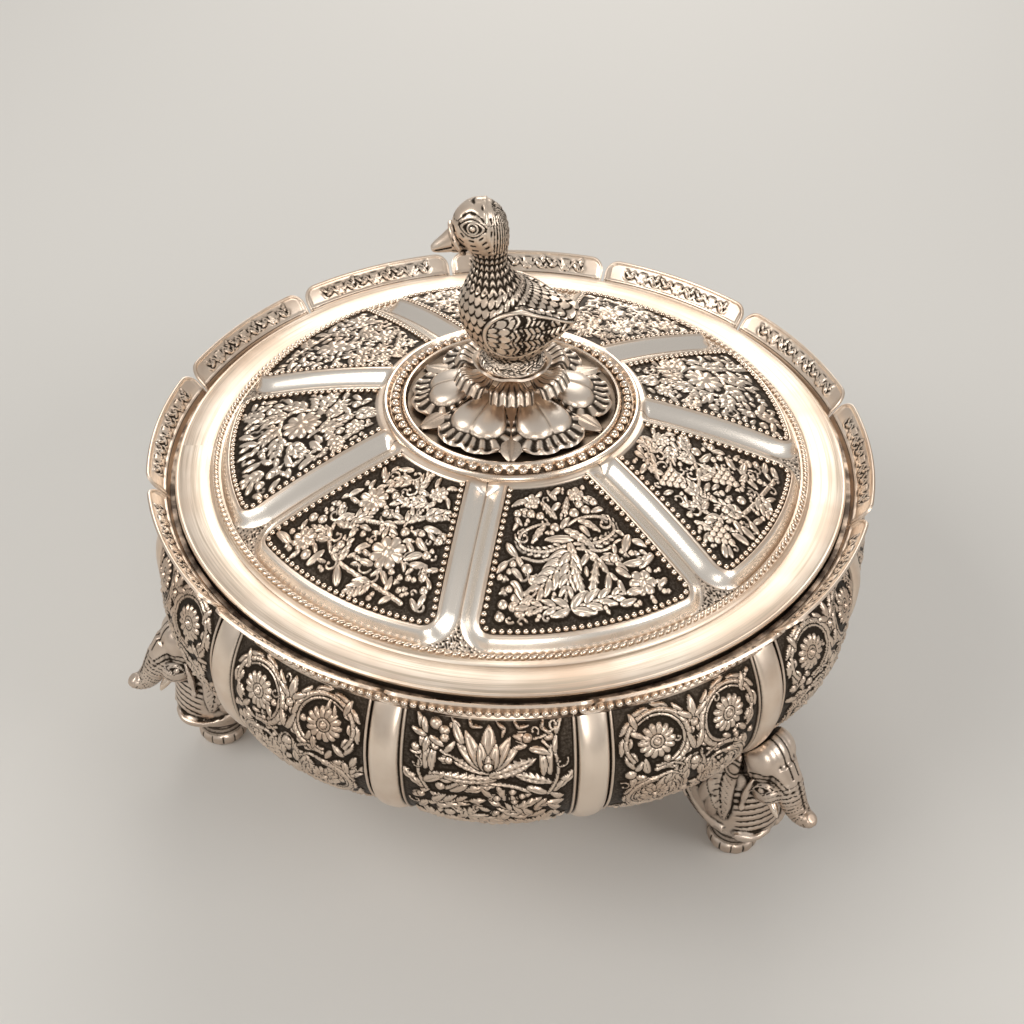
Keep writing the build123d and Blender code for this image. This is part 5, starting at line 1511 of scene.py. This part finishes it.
head_dark = 0.15 + 0.8 * clamp(strokes) * (1 - nape) + 0.75 * (plumes < -0.1) * nape
blend_in(head, head_height, head_dark)
band = ridge(x + 0.125 + 0.16 * (z - 0.83), 0, 0.008) * (z > 0.72)
push, shade = push + 0.4 * band, shade * (1 - band)
lid_line = ridge(almond, 1.05, 0.14)
ring = ridge(eye, 0.027, 0.0055)
pupil = clamp(1 - (eye / 0.015) ** 2) ** 0.5
near_eye = ramp(1.42, 1.3, almond) * (side > 0.03) * (z > 0.74)
eye_height = 0.5 * lid_line + 0.35 * ring + 0.6 * pupil - 0.3
blend_in(near_eye, eye_height, clamp(1.1 - 1.4 * lid_line - 1.1 * ring - 1.6 * pupil))
brow = ridge(almond, 2.0, 0.13) * ramp(0.885, 0.905, z) * (side > 0.03)
push, shade = push - 0.2 * brow, np.maximum(shade, 0.95 * brow)
# Bill: smooth, with a dark mouth line
bill = ramp(-0.318, -0.33, x)
mouth = ridge((z - 0.7) - 0.42 * (x + 0.42), -0.002, 0.008) * ramp(-0.425, -0.41, x)
blend_in(bill, -0.3 * mouth, 0.06 + 0.9 * mouth)
# Wings: a raised border, small scales in front, then long barbed feathers in tiers
wing_away = np.hypot((x - 0.02) / 0.185, (z - 0.292) / 0.152)
wing_tail = np.hypot(clamp(x - 0.05) / 0.3, (z - 0.292) / (0.16 - 0.38 * np.clip(x - 0.02, 0, 0.36)))
reach = np.where(x > 0.05, wing_tail, wing_away)
on_wing = ramp(1.02, 0.96, reach) * ramp(0.075, 0.09, side + 0.35 * clamp(x - 0.1))
on_wing = on_wing * (z > 0.1) * (z < 0.47)
rib_u = (z - 0.292 + 0.3 * clamp(x) * (z - 0.3) * 3) * 12 + 7.3
tier = (x + 0.25) * 7.6
long_height, long_edge = scales(rib_u, tier, 0.8)
long_edge = np.maximum(long_edge, ridge((rib_u + 0.5 * (np.floor(tier) % 2)) % 1.0, 0, 0.16))
barbs = 0.3 * np.sin(2 * pi * (x * 36 + np.abs((rib_u % 1.0) - 0.5) * 1.6)) * ramp(-0.02, 0.03, x)
fan = np.arctan2(z - 0.292, x + 0.22)
small_height, small_edge = scales(fan * 4.2 + 20, np.hypot(x + 0.22, z - 0.292) * 16)
front = ramp(0.03, 0.0, x)
wing_height = (small_height * front + long_height * (1 - front)) * 0.75 + barbs
wing_dark = 1.2 * (small_edge * front + long_edge * (1 - front)) + 0.6 * (barbs < -0.08)
border = ridge(reach, 0.9, 0.055)
wing_height = np.where(reach > 0.83, 0.15 + 0.75 * border, wing_height)
wing_dark = np.where(reach > 0.83, 0.9 - 0.9 * clamp(border * 1.2), wing_dark)
blend_in(on_wing, wing_height - 0.1, wing_dark)
# Foot: pricked scrolls
foot_zone = ramp(0.1, 0.075, z)
pricks = np.sin(np.arctan2(y, x) * 16 + 5 * np.sin(z * 90)) * np.sin(z * 190 + 2 * np.sin(np.arctan2(y, x) * 9))
blend_in(foot_zone, 0.35 * pricks, clamp(0.55 - 0.8 * pricks))
duck_silver = chased_finish("duck_chased_silver", 0.25)
points = place + normal * push[:, None]
# Tarnish in the fine hollows of the chasing, and painted shade, like ambient occlusion, in the wide ones
shade = shade + 4.0 * clamp(hollows(solid, points, normal, 5))
shade = shade + 0.7 * clamp(hollows(solid, points, normal, 40))
duck = chased_cast("duck_casting", solid, points, shade, duck_silver)
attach(duck, "lid")
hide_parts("duck")


# Elephant feet: three castings, each an elephant's head and chest over one round foot, chased with
# trunk rings, a head harness, an almond eye and drooping leaves; the tusks are burnished.
FOOT_AXIS = 113.5
EYE_X, EYE_Z = 13.4, 44.2
TRUNK = ((13.0, 50.5), (16.4, 46.4), (19.5, 41.4), (22.3, 37.2), (25.3, 34.7), (28.0, 34.6), (29.6, 36.6))


def beast(x, y, z):
    """Place on a casting that faces +X, with x measured from the foot's axis."""
    return (FOOT_AXIS + x, y, z)


def elephant_casting():
    """Skin of one elephant that faces +X from the box's axis."""
    ankle = (
        (0.0, 7.8), (0.7, 8.8), (2.2, 9.2), (4.2, 9.1), (5.4, 8.2), (6.4, 8.4), (7.3, 7.7), (8.2, 8.1), (9.1, 7.5),
        (10.2, 8.0), (11.4, 7.8), (13.5, 9.2), (14.0, 8),
    )
    body = (
        (9.5, -6.5, 6.8, 7.0), (12.5, -12, 11.5, 10.4), (16.0, -19, 14.6, 12.4), (21, -23.5, 15.6, 13.6),
        (27, -25, 15.0, 13.8), (34, -25.3, 14.2, 13.0), (41, -25.5, 13.4, 12.0), (48, -25.5, 11.6, 10.4),
        (55, -25.5, 9.0, 8.6), (57, -24, 7, 7),
    )
    ear = (
        (3.4, 9.2, 55.0, 1.4, 0.8), (1.6, 10.4, 51.0, 3.6, 1.0), (0.2, 11.4, 45.0, 5.4, 1.1),
        (0.4, 12.3, 38.5, 5.2, 1.2), (1.8, 12.9, 32.0, 4.0, 1.1), (3.2, 13.4, 26.6, 2.0, 0.8),
        (3.8, 13.5, 24.6, 0.5, 0.4),
    )
    tassel = (
        (9.8, 9.2, 47.0, 0.6), (9.2, 10.0, 43.0, 1.1), (8.8, 10.6, 39.6, 1.3), (8.6, 10.9, 36.0, 0.8),
        (8.6, 11.2, 33.5, 1.2), (8.6, 11.2, 32.0, 0.4),
    )
    ledge = (
        (15.0, 2.0, 18.8), (13.6, 8.4, 18.4), (8.6, 12.4, 18.2),
        (1.4, 13.9, 19.0), (-6.0, 13.8, 21.6), (-12.6, 12.6, 26.8),
    )
    shell_rim = (
        (-13.0, 12.4, 22.0), (-18.0, 11.8, 27.0), (-21.6, 11.0, 34.0), (-23.6, 10.4, 42.0), (-24.4, 9.6, 49.0)
    )
    shapes = []
    # Round foot with a ringed ankle; chest and body, leaning back under the bowl
    shapes.append(loft([(beast(0, 0, z), (0, r, 0), (r, 0, 0)) for z, r in ankle], 56, 70))
    shapes.append(loft([(beast((f + b) / 2, 0, z), (0, w, 0), ((f - b) / 2, 0, 0)) for z, b, f, w in body], 60, 90))
    # Head with domed brow, cheeks and jaw
    shapes.append(ball(beast(8.4, 0, 50.4), (9.1, 9.1, 11.6), 0.12))
    for side in (-1, 1):
        shapes.append(ball(beast(9.2, side * 4.0, 53.4), (7.0, 5.3, 7.8)))
        shapes.append(ball(beast(12.6, side * 4.6, 42.2), (6.0, 4.4, 6.4), -0.4))
    shapes.append(ball(beast(13.4, 0, 38.4), (4.6, 3.8, 4.4)))
    # Trunk with its tip curled up
    line = curve_through(TRUNK, 44)
    stations, slope = [], np.gradient(line, axis=0)
    shares, girths = (0, 0.2, 0.45, 0.7, 0.85, 0.95, 1.0), (6.9, 5.7, 4.3, 3.3, 2.7, 2.5, 2.0)
    girth = np.interp(np.linspace(0, 1, 44), shares, girths)
    for (px, pz), (dx, dz), g in zip(line, slope, girth):
        length = sqrt(dx * dx + dz * dz)
        stations.append((beast(px, 0, pz), (0, g, 0), (g * dz / length, 0, -g * dx / length)))
    shapes.append(loft(stations, 44, 130))
    for side in (-1, 1):
        # Ear, a leaf-shaped lappet hanging from the temple, and a harness tassel between ear and jaw
        lappet = [(beast(x, side * y, z), (w, 0, 0.15 * w), (0, side * t, 0)) for x, y, z, w, t in ear]
        shapes.append(loft(lappet, 28, 50))
        shapes.append(loft([(beast(x, side * y, z), (r, 0, 0), (0, r, 0)) for x, y, z, r in tassel], 16, 40))
        # Knee and the turned ledge above the foot
        shapes.append(ball(beast(9.0, side * 6.4, 17.8), (5.2, 5.4, 3.6)))
        shapes.append(loft([(beast(x, side * y, z), (0, 0.2, 1.4), (1.3, 0.4, 0)) for x, y, z in ledge], 16, 50))
        # Leaves that droop over the flank
        for x, z, size, lean in ((-4.6, 33.0, 7.4, 0.25), (-10.4, 36.0, 8.4, 0.3), (-1.6, 28.2, 5.4, 0.1)):
            shapes.append(ball(beast(x, side * (13.4 - 0.012 * x * x), z), (2.7, 1.3, size), lean))
        # Shell rim behind the flank
        shapes.append(loft([(beast(x, side * y, z), (0.9, 0, 0.3), (0, 0.9, 0)) for x, y, z in shell_rim], 14, 50))
    return cast("elephant", shapes, 0.55, 2)


solid, place, normal = elephant_casting()
x, y, z = place.T
x = x - FOOT_AXIS
side = np.abs(y)
push, shade = np.zeros(len(x)), np.full(len(x), 0.1)
# Nearest place on the trunk's line, as a share from brow to tip
trunk_line = curve_through(TRUNK, 90)
away = np.hypot(x[:, None] - trunk_line[None, :, 0], z[:, None] - trunk_line[None, :, 1])
share = away.argmin(1) / 89.0
on_trunk = ramp(0.16, 0.22, share) * ramp(14.0, 15.5, x) * ramp(7.6, 6.4, away.min(1))
rings = np.abs(np.sin(pi * share * 19)) ** 0.5
top_line = ridge(y, 0, 0.45) * (normal[:, 2] > -0.2)
trunk_height = 0.45 * rings - 0.5 * top_line * (share < 0.8)
trunk_dark = clamp(1.0 - 1.2 * rings) + 0.8 * top_line * (share < 0.8)
blend_in(on_trunk * ramp(0.97, 0.9, share), trunk_height, trunk_dark)
# Head harness: two engraved lines over the crown, a temple medallion, a brow drape
crown = ridge(side, 1.5, 0.34) * (z > 50) * (x > -2)
push, shade = push - 0.35 * crown, shade + 0.85 * crown
medal = np.hypot(x - 3.4, z - 49.6)
on_head = (side > 6.0) & (z > 38) & (x > 0) & (x < 22)
medal_rings = ridge(medal, 3.7, 0.42) + ridge(medal, 2.1, 0.4)
medal_zone = ramp(4.6, 4.2, medal) * on_head
blend_in(medal_zone, 0.15 + 0.3 * clamp(1 - medal / 1.2), 0.15 + 0.8 * clamp(medal_rings))
drape = z - (49.5 - 0.5 * np.abs(x - 12) + 0.9 * np.sin(side * 1.3))
drape_line = (ridge(drape, 0, 0.34) + ridge(drape, 2.7, 0.34)) * (x > 6.4) * (x < 21) * (z > 42) * (1 - medal_zone)
weave = 0.5 + 0.5 * np.sin(x * 3.2 + side * 2.4) * np.sin(side * 3.0)
between = (drape > 0.3) * (drape < 2.4) * (x > 7) * (z > 42) * weave
push, shade = push - 0.3 * drape_line - 0.15 * between, shade + 0.85 * drape_line + 0.45 * between
# Almond eye
eye_u, eye_v = (x - EYE_X) + 0.42 * (z - EYE_Z), (z - EYE_Z) - 0.42 * (x - EYE_X)
almond = np.hypot(eye_u / 3.3, eye_v / (1.75 * np.clip(1 - 0.1 * np.abs(eye_u), 0.2, 1)))
eye_zone = ramp(1.3, 1.15, almond) * (side > 5.2)
ball_eye = clamp(1 - np.hypot(eye_u, eye_v) / 1.25) ** 0.5
lids = ridge(almond, 0.98, 0.14)
blend_in(eye_zone, 0.45 * lids + 0.55 * ball_eye - 0.25, clamp(0.95 - 1.3 * lids - 1.5 * ball_eye))
# Chest folds under the jaw
folds = np.abs(np.sin(pi * (z + 0.022 * side * side) / 2.7)) ** 0.6
chest = ramp(3.0, 5.0, x) * ramp(11.6, 10.4, side) * ramp(20.2, 21.4, z) * ramp(40.0, 38.0, z)
chest = chest * (away.min(1) > 5.0)
blend_in(chest, 0.6 * folds - 0.4, clamp(1.0 - 1.15 * folds))
# Ears and flank leaves: a rim and veins, dark behind them
ear_run = clamp((55.5 - z) / 31.0)
ear_marks = (0, 0.15, 0.35, 0.55, 0.75, 1)
ear_half = np.interp(ear_run, ear_marks, (1.2, 3.6, 5.4, 5.2, 4.0, 0.6))
ear_middle = np.interp(ear_run, ear_marks, (3.4, 1.6, 0.2, 0.4, 1.8, 3.8))
ear_u = (x - ear_middle) / np.maximum(ear_half, 0.3)
on_ear = (side > 8.6 + 0.16 * np.clip(50 - z, 0, 30)) & (np.abs(ear_u) < 1.1)
on_ear = on_ear & (z > 24) & (z < 55) & (medal > 4.4)
vein = np.abs(np.sin(pi * (z * 0.42 + np.abs(ear_u) * 1.7))) ** 0.5
mid = ridge(ear_u, 0, 0.1)
ear_dark = clamp(0.7 - 1.0 * vein + 0.8 * mid)
blend_in(on_ear * ramp(0.82, 0.7, np.abs(ear_u)), 0.28 * vein - 0.3 * mid - 0.25, ear_dark)
shade = shade + 0.8 * on_ear * ridge(np.abs(ear_u), 1.05, 0.12)
# Flank behind the ears and leaves: an engraved stripe over painted shade, darkest in the recess under them
flank = (x < -3.0) & (z > 14)
stripe = 0.5 + 0.5 * np.sin(2 * pi * (z * 0.42 + x * 0.25)) * np.sin(2 * pi * (x * 0.5 - z * 0.13))
recess = ramp(13.6, 12.4, side + 0.03 * (x + 8) ** 2 * 0.3)
blend_in(flank * recess * ramp(-3.0, -5.0, x), 0.3 * stripe - 0.2, clamp(0.85 - 0.5 * stripe))
# Ankle rings and toenail gaps
turn = np.degrees(np.arctan2(y, x))
nails = np.abs(np.sin(radians(1) * turn * 6.5))
ankle_rings = 0.5 - 0.5 * np.sin(2 * pi * (z - 5.0) / 1.9)
shade = shade + 0.75 * ramp(13.4, 11.8, z) * ramp(4.8, 5.6, z) * ankle_rings
nail_zone = ramp(5.0, 4.4, z) * ramp(0.3, 0.9, z)
push = push + nail_zone * (0.35 * nails**0.4 - 0.25)
shade = shade + 0.8 * nail_zone * ramp(0.3, 0.1, nails)
points = place + normal * push[:, None]
# Tarnish in the fine hollows of the chasing, and painted shade in the wide ones, such as between head and chest
shade = shade + 4.0 * clamp(hollows(solid, points, normal, 4))
shade = shade + 1.0 * clamp(hollows(solid, points, normal, 40))
# Trim against the bowl: nothing rises into its wall
wall_radius, wall_height = (column[:, 0] for column in bowl_profile(300, 100.0)[:2])
lower_wall = wall_height < BELLY[1]
reach = np.hypot(points[:, 0], points[:, 1])
ceiling = np.interp(reach, wall_radius[lower_wall][::-1], wall_height[lower_wall][::-1]) - 0.9
over = (points[:, 2] > ceiling) & (reach < BELLY[0])
points[over, 2] = ceiling[over]
shade = np.where(over, 0.8, shade)
points[:, 2] = np.maximum(points[:, 2], 0.02)
# Painted shade: the elephants get a darker copy of the chased silver, for their place under the bowl
elephant_silver_painted_shade = chased_finish("elephant_chased_silver_painted_shade", 0.2, (0.7, 0.59, 0.5), (0.56, 0.44, 0.35))
ivory_silver = wire_finish("burnished_silver", BRIGHT_SILVER, 0.18)
tusk_line = (
    (14.0, 5.0, 40.6, 1.7), (16.8, 5.9, 38.4, 1.6), (18.8, 6.4, 36.4, 1.3),
    (20.0, 6.6, 34.6, 0.6), (20.2, 6.6, 34.2, 0.2),
)
for name, azimuth in FOOT_AZIMUTHS.items():
    spin = radians(azimuth - 90)
    placed = points.copy()
    placed[:, 0] = points[:, 0] * cos(spin) - points[:, 1] * sin(spin)
    placed[:, 1] = points[:, 0] * sin(spin) + points[:, 1] * cos(spin)
    beast_piece = chased_cast(f"elephant_{name}", solid.copy(), placed, shade, elephant_silver_painted_shade)
    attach(beast_piece, "bowl_body")
    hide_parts(f"elephant_foot_{name}")
    tusk_parts = []
    for way in (-1, 1):
        rings = [(beast(px, way * py, pz), (0, r, 0), (0.7 * r, 0, 0.7 * r)) for px, py, pz, r in tusk_line]
        tusk_parts.append(solid_of("tusk", *loft(rings, 20, 30)))
        tusk_parts[-1].data.transform(Matrix.Rotation(spin, 4, "Z"))
    tusks = joined(f"tusks_{name}", tusk_parts, ivory_silver)
    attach(tusks, "bowl_body")
bpy.data.meshes.remove(solid)

# Mouth ring and bezel: plain turned rings inside the mouth and under the lid, brushed on the lathe and
# soldered on; the first carries the tray on its ledge, the second centres the lid.
inside_silver = brushed_finish("inside_silver", (0.78, 0.68, 0.58), 0.34, 0.2)
mouth_piece = lathe(
    "mouth_ring_turned",
    [
        (108.0, 100.9), (108.4, 100.5), (115.2, 100.5), (115.6, 100.9), (115.6, 112.4), (115.3, 112.8),
        (113.5, 112.8), (113.2, 112.5), (113.2, 103.1), (112.6, 102.5), (108.4, 102.5), (108.0, 102.1),
    ],
    finish=inside_silver,
)
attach(mouth_piece, "bowl_body")
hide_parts("mouth_ring")
bezel_piece = lathe(
    "bezel_turned",
    [
        (111.3, 107.3), (111.6, 106.9), (112.3, 106.8), (112.8, 107.1),
        (112.9, 107.7), (112.9, 112.8), (111.3, 112.8),
    ],
    finish=inside_silver,
)
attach(bezel_piece, "lid")
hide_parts("lid_bezel")

# Tray: the CAD plate stays and is brushed; on it lie a rolled rim, a chased vine that runs round between
# rim and cups, and two wire loops on small collars to lift it by.
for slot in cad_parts["tray"].material_slots:
    slot.material = inside_silver


def places_of(mesh):
    """Points of a mesh, in metres."""
    places = np.zeros(len(mesh.vertices) * 3)
    mesh.vertices.foreach_get("co", places)
    return places.reshape(-1, 3)


def chase(piece, places, shade):
    """Moves a turned piece's points to places, in metres, and sets its tarnish."""
    piece.data.vertices.foreach_set("co", places.ravel())
    piece.data.attributes["tarnish_and_painted_light"].data.foreach_set("value", shade)


VINE_MIDDLE = 104.7
VINE_HALF = 4.6
VINE_SWING = 0.42
VINE_WAVES = 24
tray_chased = chased_finish("tray_chased_silver", 0.3)
vine_rows = np.linspace(110.0, 99.4, 22)
vine_shape = [(99.0, 103.9), (110.4, 103.9), (110.4, 104.3), *[(r, 104.4) for r in vine_rows], (99.0, 104.3)]
vine = lathe("tray_vine", vine_shape, 480, finish=tray_chased)
places = places_of(vine.data)
reach, turn = np.hypot(places[:, 0], places[:, 1]) / MM, np.arctan2(places[:, 1], places[:, 0])
across, wave = (reach - VINE_MIDDLE) / VINE_HALF, turn * VINE_WAVES
stem = ridge(across, VINE_SWING * np.sin(wave), 0.13)
# A flower lies in every bay of the stem, on its other side
flower_across, flower_along = across + VINE_SWING * np.sin(wave), ((wave / pi) % 1.0) - 0.5
flower = clamp(1 - np.hypot(flower_across, np.abs(flower_along) * 2.6) / 0.52)
petals = np.sqrt(flower) * (0.7 + 0.3 * np.cos(np.arctan2(flower_across, flower_along) * 6))
raised = clamp(np.maximum(stem, petals)) * ramp(1.0, 0.88, np.abs(across))
on_face = (places[:, 2] / MM > 104.35) & (np.abs(across) < 1)
places[:, 2] += np.where(on_face, (0.55 * raised - 0.15) * MM, 0)
chase(vine, places, np.where(on_face, clamp(1 - 1.6 * raised), 0.2))
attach(vine, "tray_body")
tray_rim = lathe(
    "tray_rim",
    [
        (110.6, 103.8), (112.6, 103.8), (112.7, 104.3), (112.6, 104.9),
        (112.1, 105.3), (111.5, 105.3), (110.9, 104.9), (110.7, 104.3),
    ],
    finish=inside_silver,
)
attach(tray_rim, "tray_body")
LOOP_REACH = 92.0
LOOP_RADIUS = 7.8
collar_shape = [(0, 103.9), (2.3, 103.9), (2.3, 104.5), (1.7, 105.0), (1.3, 105.8), (0, 105.8)]
loop_parts = []
for x in (-LOOP_REACH, LOOP_REACH):
    arch = []
    for turn in np.linspace(0, pi, 9):
        girth = 1.2 - 0.25 * sin(turn)
        centre = (x, LOOP_RADIUS * cos(turn), 104.0 + LOOP_RADIUS * sin(turn))
        arch.append((centre, (girth, 0, 0), (0, girth * cos(turn), girth * sin(turn))))
    loop_parts.append(solid_of("arch", *loft(arch, 20, 48)))
    for y in (-LOOP_RADIUS, LOOP_RADIUS):
        collar = lathe("collar", collar_shape, 28, 0.2)
        collar.data.transform(Matrix.Translation((x * MM, y * MM, 0)))
        loop_parts.append(collar)
loops = joined("tray_loops_wire", loop_parts, polished_silver)
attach(loops, "tray_body")
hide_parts("tray_loops")

# Cups: seven eight-sided silver cups with a rolled lip, each with a lid chased with one leaf on every
# side and a fluted bud for a knob. All raised from sheet; they hang in the tray by their lips.
CUP_CIRCLE = 69.0
SLOPE_EDGE = 24.0
SLOPE_LENGTH = 14.0
cup_chased = chased_finish("cup_chased_silver", 0.3)


def eight_sides(azimuths):
    """Share of a circle's radius at which a rounded octagon lies."""
    return sum(np.abs(np.cos(np.radians(azimuths - 45 * side))) ** 30 for side in range(4)) ** (-1 / 30)


cup_shape = [
    (0, 70.0), (18.7, 70.0), (19.2, 70.5), (23.9, 103.6), (24.2, 104.02), (26.1, 104.02), (26.6, 104.4),
    (26.5, 105.0), (26.0, 105.2), (23.3, 105.2), (22.8, 104.8), (18.3, 71.9), (17.6, 71.2), (0, 71.2),
]
slope = [(SLOPE_EDGE - SLOPE_LENGTH * share, 106.4 + 6.0 * share) for share in np.linspace(0, 1, 30)]
lid_shape = [
    (20.6, 101.2), (21.9, 101.2), (21.9, 105.2), (26.5, 105.25), (26.5, 105.9), (26.1, 106.35), *slope,
    (0, 112.4), (0, 111.2), (10.0, 111.2), (20.6, 106.4),
]
bud = [(2.3, 112.4), (1.9, 113.1), (3.0, 114.3), (3.9, 116.2), (3.5, 118.3), (2.0, 119.6), (0.5, 120.35)]
knob_shape = [(0, 112.3), *curve_through(bud, 26).tolist(), (0, 120.4)]


def eight_flutes(azimuths):
    """Share of a circle's radius at which a knob's fluted side lies."""
    return 1 + 0.05 * np.cos(np.radians(azimuths * 8))


for number in range(7):
    # The first cup stands in the middle, the others in a circle round it
    middle = turned(0.0 if number == 0 else CUP_CIRCLE, 60.0 * (number - 1), 0.0)
    shift = Matrix.Translation(Vector(middle) * MM)
    cup = lathe(f"cup_{number + 1}_raised", cup_shape, 96, 0.1, eight_sides, inside_silver)
    cover = lathe(f"cup_lid_{number + 1}_raised", lid_shape, 96, 0.1, eight_sides, cup_chased)
    knob = lathe(f"cup_knob_{number + 1}_bud", knob_shape, 48, 0.15, eight_flutes, polished_silver)
    # A leaf and an edge rib on every side of the lid
    places = places_of(cover.data)
    azimuth = np.degrees(np.arctan2(places[:, 0], -places[:, 1]))
    facing = (azimuth + 22.5) % 45 - 22.5
    reach = np.hypot(places[:, 0], places[:, 1]) / MM / eight_sides(azimuth)
    share, aside = (SLOPE_EDGE - reach) / SLOPE_LENGTH, reach * np.radians(facing)
    half = 0.36 * np.maximum(reach, 0.1) * np.clip(np.sin(pi * clamp(share * 1.02)), 0.02, 1) ** 0.7
    leaf = domed(aside / half) * (1 - 0.5 * ridge(aside, 0, 0.5))
    edge = ridge((np.abs(facing) - 22.5) * reach * radians(1), 0, 0.9)
    on_slope = (places[:, 2] / MM > 106.38) & (share > 0.02) & (share < 0.98)
    raised = np.maximum(leaf, edge)
    places[:, 2] += np.where(on_slope, (0.7 * raised - 0.35) * MM, 0)
    chase(cover, places, np.where(on_slope, clamp(1 - 1.7 * raised), 0.1))
    for piece, node in ((cup, "cup"), (cover, "cup_lid"), (knob, "cup_knob")):
        piece.data.transform(shift)
        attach(piece, f"cup_body_{number + 1}" if node == "cup" else f"cup_lid_body_{number + 1}")
        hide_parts(f"{node}_{number + 1}")

# Studs, nuts and washer: brass, cut and filed by hand, gone brown in patches. The CAD shapes stay as
# they are.
brass = Finish("brass", roughness=0.34)
brass_place = brass.place()
brown = brass.noise(brass_place, 220.0, 4.0)
scratches = brass.noise(brass_place, 2400.0, 2.0)
brass.set(Base_Color=brass.mix(brown.between(0.35, 0.7), (0.78, 0.57, 0.27), (0.34, 0.21, 0.1)))
brass.set(Roughness=0.28 + 0.3 * brown)
brass.bump(scratches, 0.25, 0.00005)
for node in ("foot_studs", "foot_nuts", "finial_stud", "finial_washer", "finial_nut"):
    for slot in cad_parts[node].material_slots:
        slot.material = brass.material
